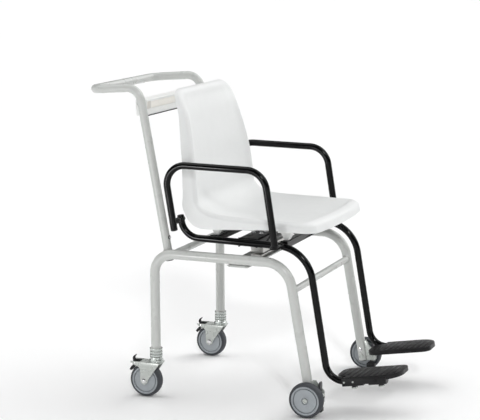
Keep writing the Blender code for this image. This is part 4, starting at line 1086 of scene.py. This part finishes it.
# -------------------------------------------------------------- rear castors
for side, s in SIDES:
    cx = s * FRAME_X
    body = "caster_" + side
    piece("caster_collar_" + side, turned_mesh((cx, REAR_LEG_Y, 0), (0, 0, 1), soft([
        (6.5, 122), (17, 122), (18.5, 123.6), (18.5, 128.8), (15.2, 129.6), (15.2, 132.2), (18.5, 133),
        (18.5, 137.8), (15.2, 138.6), (15.2, 141.2), (18.5, 142), (18.5, 147.7), (6.5, 147.7)], 0.4, 30), 72),
        "bright_zinc", nodes=["caster_socket_" + side])
    piece("leg_weld_" + side, turned_mesh((cx, REAR_LEG_Y, 0), (0, 0, 1), soft([
        (13.6, 147.2), (16.6, 147.2), (16.2, 149.4), (14.6, 151.0), (13.6, 151.0)], 0.6, 30), 64), "weld_bead")
    lower = [(REAR_WHEEL_Y + 11.5 * math.cos(math.radians(a)), REAR_R + 11.5 * math.sin(math.radians(a)))
             for a in range(-5, -191, -9)]
    cheek = [(181, 105), (274, 105), (274, 101.5), (267, 96), (249, 90), (244, 84)] + lower
    origin = (cx, REAR_LEG_Y, 0)
    sheets = []
    for k in (-1, 1):
        bm = profile_x(cheek, cx + k * 17.4, cx + k * 20)
        bmesh.ops.bisect_plane(bm, geom=list(bm.verts) + list(bm.edges) + list(bm.faces), dist=0.001,
                               plane_co=(0, 216, 0), plane_no=(0, 1, 0.28))
        for v in bm.verts:
            ahead = (216 - v.co.y) - 0.28 * v.co.z
            if ahead > 0:
                v.co.x -= k * min(ahead * 0.10, 3.0) * min((105 - v.co.z) / 8.0, 1.0)
        sheets.append(soften(bm, 0.5, 2, angle=50))
    crown = turned_mesh((cx, REAR_LEG_Y, 0), (0, 0, 1), soft([
        (0, 104), (19, 104), (21, 106.4), (21, 108.2), (20.2, 109.0), (21, 109.8), (21, 113), (18, 115.4),
        (18, 121.6), (6, 121.6), (6, 190), (0, 190)], 0.5, 30), 72)
    top = soften(prism_mesh([(cx + px, py, 102) for px, py in rounded(
        [(-19.4, 181.4), (-19.4, 247.6), (19.4, 247.6), (19.4, 181.4)], [6, 2, 2, 6], 15)], (0, 0, 2.8)), 0.6, 2, angle=50)
    piece("caster_fork_pressing_" + side, join(top, *sheets), "zinc_steel", body,
          ["caster_fork_" + side], origin=origin)
    piece("caster_crown_" + side, crown, "bright_zinc", body, origin=origin)
    piece("caster_axle_" + side, turned_mesh((cx, REAR_WHEEL_Y, REAR_R), (1, 0, 0), soft([
        (0, -23), (4.6, -23), (7.0, -21.8), (7.5, -20.1), (4, -20.1), (4, 20.1), (7.5, 20.1),
        (7.0, 21.8), (4.6, 23), (0, 23)], 0.4, 30), 40), "chrome_steel", "caster_" + side,
        ["rear_axle_" + side], origin=(cx, REAR_WHEEL_Y, REAR_R))
    piece("caster_spacers_" + side, join(*[turned_mesh(
        (cx, REAR_WHEEL_Y, REAR_R), (k, 0, 0), soft([(4.1, 15.0), (7.4, 15.0), (7.4, 17.2), (4.1, 17.2)], 0.2, 45), 32)
        for k in (-1, 1)]), "brake_plastic", "caster_" + side, origin=(cx, REAR_WHEEL_Y, REAR_R))
    brake_pivot = (260, 100)
    inner = [(REAR_WHEEL_Y + 51.5 * math.cos(math.radians(a)), REAR_R + 51.5 * math.sin(math.radians(a)))
             for a in range(29, 64, 2)]
    outer = [(REAR_WHEEL_Y + 58 * math.cos(math.radians(a)), REAR_R + 58 * math.sin(math.radians(a)))
             for a in range(54, 28, -2)]
    shoe = inner + [(252, 99), (252, 105), (270, 105), (270, 100)] + outer
    hook = rounded([(254, 101), (254, 107.6), (266, 107), (269.5, 109.5), (268.5, 114), (263.5, 119.5),
                    (265, 121.5), (271, 117), (274.5, 111), (273.5, 105), (269, 101)],
                   [0, 1.5, 2, 2, 2, 1, 1, 3, 3, 2, 0], 15)
    body = "rear_brake_" + side
    where = (cx, *brake_pivot)
    piece("rear_brake_pedal_" + side, join(
        soften(profile_x(shoe, cx - 12, cx + 12), 0.7, 2, angle=50),
        soften(profile_x(hook, cx - 5, cx + 5), 0.7, 2, angle=50)), "brake_plastic", body,
        ["rear_brake_" + side], origin=where)
    piece("rear_brake_pin_" + side, turned_mesh(where, (1, 0, 0), soft(
        [(0, -20.6), (2.6, -20.6), (2.6, -20.1), (2, -20.1), (2, 20.1), (2.6, 20.1), (2.6, 20.6), (0, 20.6)],
        0.1, 45), 24), "chrome_steel", body, origin=where)

# ------------------------------------------------------------------- read-out
z0, z1 = HOUSING_Z
outline = rounded([(-HOUSING_X, z0), (HOUSING_X, z0), (HOUSING_X, z1), (-HOUSING_X, z1)], [5] * 4, 10)
front = raw("housing_front", soften(prism_mesh(
    [(px, HOUSING_FRONT, pz) for px, pz in outline], (0, HOUSING_SPLIT - HOUSING_FRONT, 0)), 1.6, 4, angle=50,
    keep=lambda e: all(v.co.y < HOUSING_FRONT + 1 for v in e.verts)))
for x0, x1, za, zb, ya, yb in (
        (-196, 196, z0 + 3, z1 - 3, HOUSING_FRONT + 3, 300),
        (-171.5, 186.5, 837.5, 857.5, 230, HOUSING_FRONT + 2.4),
        (-197, 197, 860.2, 860.9, 230, HOUSING_FRONT + 0.9),
        (-197, 197, 820.6, 821.3, 230, HOUSING_FRONT + 0.9)):
    combine(front, raw("cut", box_mesh((x0, x1), (ya, yb), (za, zb))))
dress(front, "housing_plastic", "frame", ["display_housing"])
piece("housing_inlay", soften(prism_mesh([(px, HOUSING_FRONT + 0.9, pz) for px, pz in rounded(
    [(-171, 838), (186, 838), (186, 857), (-171, 857)], [1.5] * 4, 15)], (0, 1.6, 0)), 0.4, 2, angle=50), "panel_cream")
piece("housing_end_clip", soften(prism_mesh([(px, HOUSING_FRONT - 0.5, pz) for px, pz in rounded(
    [(-197.6, 838), (-174, 838), (-174, 859), (-197.6, 859)], [2.0] * 4, 15)], (0, 2.2, 0)), 0.4, 2, angle=50),
    "panel_grey")
# dark strip along the front's lower edge: painted shade standing in for the shadowed gap under the housing
piece("housing_painted_shade_strip", soften(prism_mesh([(px, HOUSING_FRONT - 0.4, pz) for px, pz in rounded(
    [(-196, 816.8), (196, 816.8), (196, 820.2), (-196, 820.2)], [1.2] * 4, 15)], (0, 6, 0)), 0.3, 2, angle=50),
    "brake_plastic")

LCD = (-62, 62, 828, 854)
BATTERY = (-182, -92, 825, 856)
BUTTONS = (("power_button", 96), ("hold_button", 126), ("tare_button", 156))
BUTTON_Z = 841
cover = raw("cover_rear", soften(prism_mesh(
    [(px, HOUSING_SPLIT + GAP, pz) for px, pz in outline], (0, HOUSING_REAR - HOUSING_SPLIT - GAP, 0)), 1.2, 3, angle=50,
    keep=lambda e: all(v.co.y > HOUSING_REAR - 1 for v in e.verts)))
for x0, x1, za, zb in (LCD, BATTERY):
    combine(cover, raw("window", box_mesh((x0, x1), (260, 280), (za, zb))))
for _, bx in BUTTONS:
    combine(cover, raw("hole", rod_mesh((bx, 0, BUTTON_Z), (0, 1, 0), 6.9, 260, 280, 40)))
combine(cover, raw("thumb", rod_mesh((-137, 274.5, 825.5), (1, 0, 0), 5, -9, 9, 40)))
dress(cover, "housing_plastic", "frame", ["display_back_cover"])
bezel = raw("bezel", soften(prism_mesh([(px, HOUSING_REAR - 0.6, pz) for px, pz in rounded(
    [(-66, 824.5), (66, 824.5), (66, 857.5), (-66, 857.5)], [3] * 4, 15)], (0, 1.5, 0)), 0.6, 3, angle=50))
combine(bezel, raw("window", box_mesh((LCD[0] + 1, LCD[1] - 1), (260, 290), (LCD[2] + 1, LCD[3] - 1))))
dress(bezel, "panel_grey", "frame")
piece("lcd_pane", soften(box_mesh((LCD[0] + 0.4, LCD[1] - 0.4), (266.5, 271.2), (LCD[2] + 0.4, LCD[3] - 0.4)), 0.3),
      "lcd_glass", nodes=["lcd_window"])


def digit(x, shown, lit):
    """Bars of one seven-bar figure, seen from the rear (+Y side), so x runs right to left."""
    w, h, t = 10.5, 19.0, 1.9
    base = 831.5
    bars = {"a": ((0, h), (w, h)), "b": ((w, h / 2), (w, h)), "c": ((w, 0), (w, h / 2)), "d": ((0, 0), (w, 0)),
            "e": ((0, 0), (0, h / 2)), "f": ((0, h / 2), (0, h)), "g": ((0, h / 2), (w, h / 2))}
    out = []
    for key, (p, q) in bars.items():
        if (key in shown) != lit:
            continue
        a, b = Vector(p), Vector(q)
        u = (b - a).normalized()
        n = Vector((-u.y, u.x))
        a, b = a + u * 0.5, b - u * 0.5
        shape = [a, a + u * t / 2 + n * t / 2, b - u * t / 2 + n * t / 2, b, b - u * t / 2 - n * t / 2,
                 a + u * t / 2 - n * t / 2]
        out.append(prism_mesh([(x - s.x - (s.y / h) * 1.2, 271.1, base + s.y) for s in shape], (0, 0.2, 0)))
    return out


figures = ((46, ""), (30, ""), (14, "abcdef"), (-4, "abcdef"))
piece("lcd_figures", join(*[bm for fx, shown in figures for bm in digit(fx, shown, True)],
                          box_mesh((-1.6, 0.8), (271.1, 271.3), (831.0, 833.2)),
                          prism_mesh([(-40, 271.1, 834), (-46, 271.1, 834), (-43, 271.1, 839)], (0, 0.2, 0))),
      "lcd_segment")
piece("lcd_ghost_figures", join(*[bm for fx, shown in figures for bm in digit(fx, shown, False)]), "lcd_ghost")
board = raw("board", soften(box_mesh((-74, 176), (254, 256), (822, 859)), 0.2))
dress(board, "board_green", "frame", ["display_board"])
piece("board_chips", soften(join(
    box_mesh((70, 84), (251.5, 254.2), (832, 846)), box_mesh((100, 108), (252, 254.2), (828, 834)),
    box_mesh((-30, -12), (251, 254.2), (834, 848)), box_mesh((20, 26), (250, 254.2), (850, 856)),
    box_mesh((128, 150), (249, 254.2), (836, 842))), 0.3), "brake_plastic")
piece("battery_wrapped", soften(box_mesh((-178, -96), (241, 262), (829, 853)), 4.5, 5), "battery_wrap",
      nodes=["battery_pack"])
HINGE = (270.2, 853.8)
cover_outline = [(HINGE[0] + 1.6 * math.cos(math.radians(a)), HINGE[1] + 1.6 * math.sin(math.radians(a)))
                 for a in range(0, 181, 15)] + [(268.6, 825.5), (271.8, 825.5)]
door = soften(profile_x(cover_outline, BATTERY[0] + 0.4, BATTERY[1] - 0.4), 0.35, 2, angle=50)
grips = [soften(box_mesh((-151 + 4 * k, -149.4 + 4 * k), (271.4, 272.5), (829, 838)), 0.4, 2) for k in range(8)]
piece("battery_door", join(door, *grips), "housing_plastic", "battery_cover", ["battery_cover"], origin=(-137, *HINGE))
for name, bx in BUTTONS:
    piece(name + "_cap", turned_mesh((bx, 0, BUTTON_Z), (0, 1, 0), soft([
        (0, 263), (8.2, 263), (8.2, 265.5), (6.5, 265.5), (6.5, 273), (5.5, 273.8), (0, 273.4)], 0.3, 30), 48),
        "button_plastic", name, [name], origin=(bx, HOUSING_REAR, BUTTON_Z))
    marks = []
    if name == "tare_button":
        ring = [(bx + 1.9 * math.cos(t), 273.55, BUTTON_Z + 2.9 * math.sin(t))
                for t in (2 * math.pi * k / 32 for k in range(32))]
        marks.append(tube(ring, 0.42, 8, closed=True))
    elif name == "hold_button":
        marks += [box_mesh((bx + dx - 0.6, bx + dx + 0.6), (273.2, 273.8), (BUTTON_Z - 2.7, BUTTON_Z + 2.7))
                  for dx in (-1.5, 1.5)]
    else:
        arc = [(bx + 2.7 * math.sin(t), 273.55, BUTTON_Z + 2.7 * math.cos(t))
               for t in (math.radians(a) for a in range(38, 323, 8))]
        marks.append(tube(arc, 0.42, 8))
        marks.append(box_mesh((bx - 0.42, bx + 0.42), (273.2, 273.85), (BUTTON_Z, BUTTON_Z + 3.3)))
    piece(name + "_mark", join(*marks), "button_mark", name, origin=(bx, HOUSING_REAR, BUTTON_Z))
piece("cover_screws", join(*[socket_screw((bx, 271.6, bz), (0, 1, 0), 2.6, 0.9)
                             for bx in (-190, 190, -78, 78) for bz in (822, 859)]), "zinc_steel")
for side, s in SIDES:
    x = s * HANDLE_X
    piece("housing_bracket_" + side, soften(prism_mesh([(x + s * px, 246, pz) for px, pz in rounded(
        [(-19, 822), (-2, 822), (-2, 859), (-19, 859)], [1, 2, 2, 1], 30)], (0, 3, 0)), 0.4, 2), "frame_paint")
    tilt = Vector((0, 1, -0.182)).normalized()
    centre = Vector((x, 209.4 + 0.182 * (856 - 650), 856))
    piece("housing_bolt_" + side, join(
        turned_mesh(centre, tilt, soft([(0, 11), (5.2, 11), (5.2, 13.0), (4.2, 14.6), (0, 15.4)], 0.5, 30), 32)),
        "frame_paint")
    centre = Vector((x, 209.4 + 0.182 * (469 - 650), 469))
    piece("post_stud_ring_" + side, turned_mesh(centre, -tilt, soft(
        [(0, 10), (6.4, 10), (6.4, 12.9), (0, 13.0)], 0.3, 30), 32), "brake_plastic")
    piece("post_stud_" + side, turned_mesh(centre, -tilt, soft(
        [(0, 11), (4.2, 11), (4.2, 14.2), (3, 15.6), (0, 16)], 0.4, 30), 32), "chrome_steel")

# -------------------------------------------------------------------- staging
AZ, EL, ROLL = math.radians(-67.5901), math.radians(10.074), math.radians(-0.3249)
TARGET, DISTANCE, FOCAL = Vector((0, 32.3479, 523.9117)), 4700.0, 1586.9303
back_axis = Vector((math.sin(AZ) * math.cos(EL), -math.cos(AZ) * math.cos(EL), math.sin(EL)))
level = (-back_axis).cross(Vector((0, 0, 1))).normalized()
above = level.cross(-back_axis)
right_axis = level * math.cos(ROLL) + above * math.sin(ROLL)
up_axis = -level * math.sin(ROLL) + above * math.cos(ROLL)
cam = bpy.data.cameras.new("camera")
cam.sensor_fit = "HORIZONTAL"
cam.sensor_width = 36.0
cam.lens = FOCAL / 480.0 * 36.0
cam.clip_start, cam.clip_end = 0.1, 500.0
eye = bpy.data.objects.new("camera", cam)
turn = Matrix((right_axis, up_axis, back_axis)).transposed().to_4x4()
eye.matrix_world = Matrix.Translation((TARGET + back_axis * DISTANCE + Vector((0, Y_SHIFT, 0))) * MM) @ turn
bpy.context.scene.collection.objects.link(eye)
bpy.context.scene.camera = eye
bpy.context.scene.view_settings.view_transform = "Standard"

# A level floor that turns up into a low pale wall far away.
ground = bmesh.new()
reach = [(0.0, 0.0), (18.0, 0.0), (36.0, 0.0)] + [
    (36.0 + 4.0 * math.sin(math.radians(a)), 4.0 - 4.0 * math.cos(math.radians(a))) for a in range(15, 91, 15)] + [
    (40.0, 7.5)]
around = 64
centre = ground.verts.new((0, 0, 0))
rings = [[ground.verts.new((r * math.cos(2 * math.pi * k / around), r * math.sin(2 * math.pi * k / around), h))
          for k in range(around)] for r, h in reach[1:]]
for k in range(around):
    m = (k + 1) % around
    ground.faces.new((centre, rings[0][k], rings[0][m]))
    for low, high in zip(rings, rings[1:]):
        ground.faces.new((low[k], high[k], high[m], low[m]))
for face in ground.faces:
    face.smooth = True
mesh = bpy.data.meshes.new("floor")
ground.to_mesh(mesh)
ground.free()
floor = bpy.data.objects.new("floor", mesh)
bpy.context.scene.collection.objects.link(floor)
g = Graph("floor_white")
g.link(g.blend(g.noise(0.6, 2.0), (0.945, 0.945, 0.945), (0.955, 0.955, 0.955)), g.shader.inputs["Base Color"])
g.shader.inputs["Roughness"].default_value = 0.9
g.shader.inputs["Specular IOR Level"].default_value = 0.1
mesh.materials.append(g.mat)

world = bpy.data.worlds.new("studio")
bpy.context.scene.world = world
world.use_nodes = True
world.node_tree.nodes["Background"].inputs["Color"].default_value = (0.97, 0.985, 1.0, 1.0)
world.node_tree.nodes["Background"].inputs["Strength"].default_value = 0.06


def sun(name, azimuth, elevation, strength, spread, colour=(1, 1, 1)):
    data = bpy.data.lights.new(name, "SUN")
    data.energy = strength
    data.angle = math.radians(spread)
    data.color = colour
    obj = bpy.data.objects.new(name, data)
    a, e = math.radians(azimuth), math.radians(elevation)
    towards = Vector((math.sin(a) * math.cos(e), -math.cos(a) * math.cos(e), math.sin(e)))
    obj.rotation_euler = towards.to_track_quat("Z", "Y").to_euler()
    bpy.context.scene.collection.objects.link(obj)
    return obj


def softbox(name, azimuth, elevation, distance, width, height, watts, colour=(1, 1, 1)):
    data = bpy.data.lights.new(name, "AREA")
    data.shape = "RECTANGLE"
    data.size, data.size_y = width, height
    data.energy = watts
    data.color = colour
    obj = bpy.data.objects.new(name, data)
    a, e = math.radians(azimuth), math.radians(elevation)
    towards = Vector((math.sin(a) * math.cos(e), -math.cos(a) * math.cos(e), math.sin(e)))
    obj.location = Vector((0, 0.05, 0.5)) + towards * distance
    obj.rotation_euler = towards.to_track_quat("Z", "Y").to_euler()
    bpy.context.scene.collection.objects.link(obj)
    return obj


sun("key", -60.7, 32.7, 0.74, 7)
sun("side", 60, 37, 1.46, 60)
sun("rear", 180, 65, 1.30, 60)
sun("front", 16, 52, 0.86, 60)
softbox("strip", -112.4, -4.4, 2.6, 0.2, 0.42, 7.5)
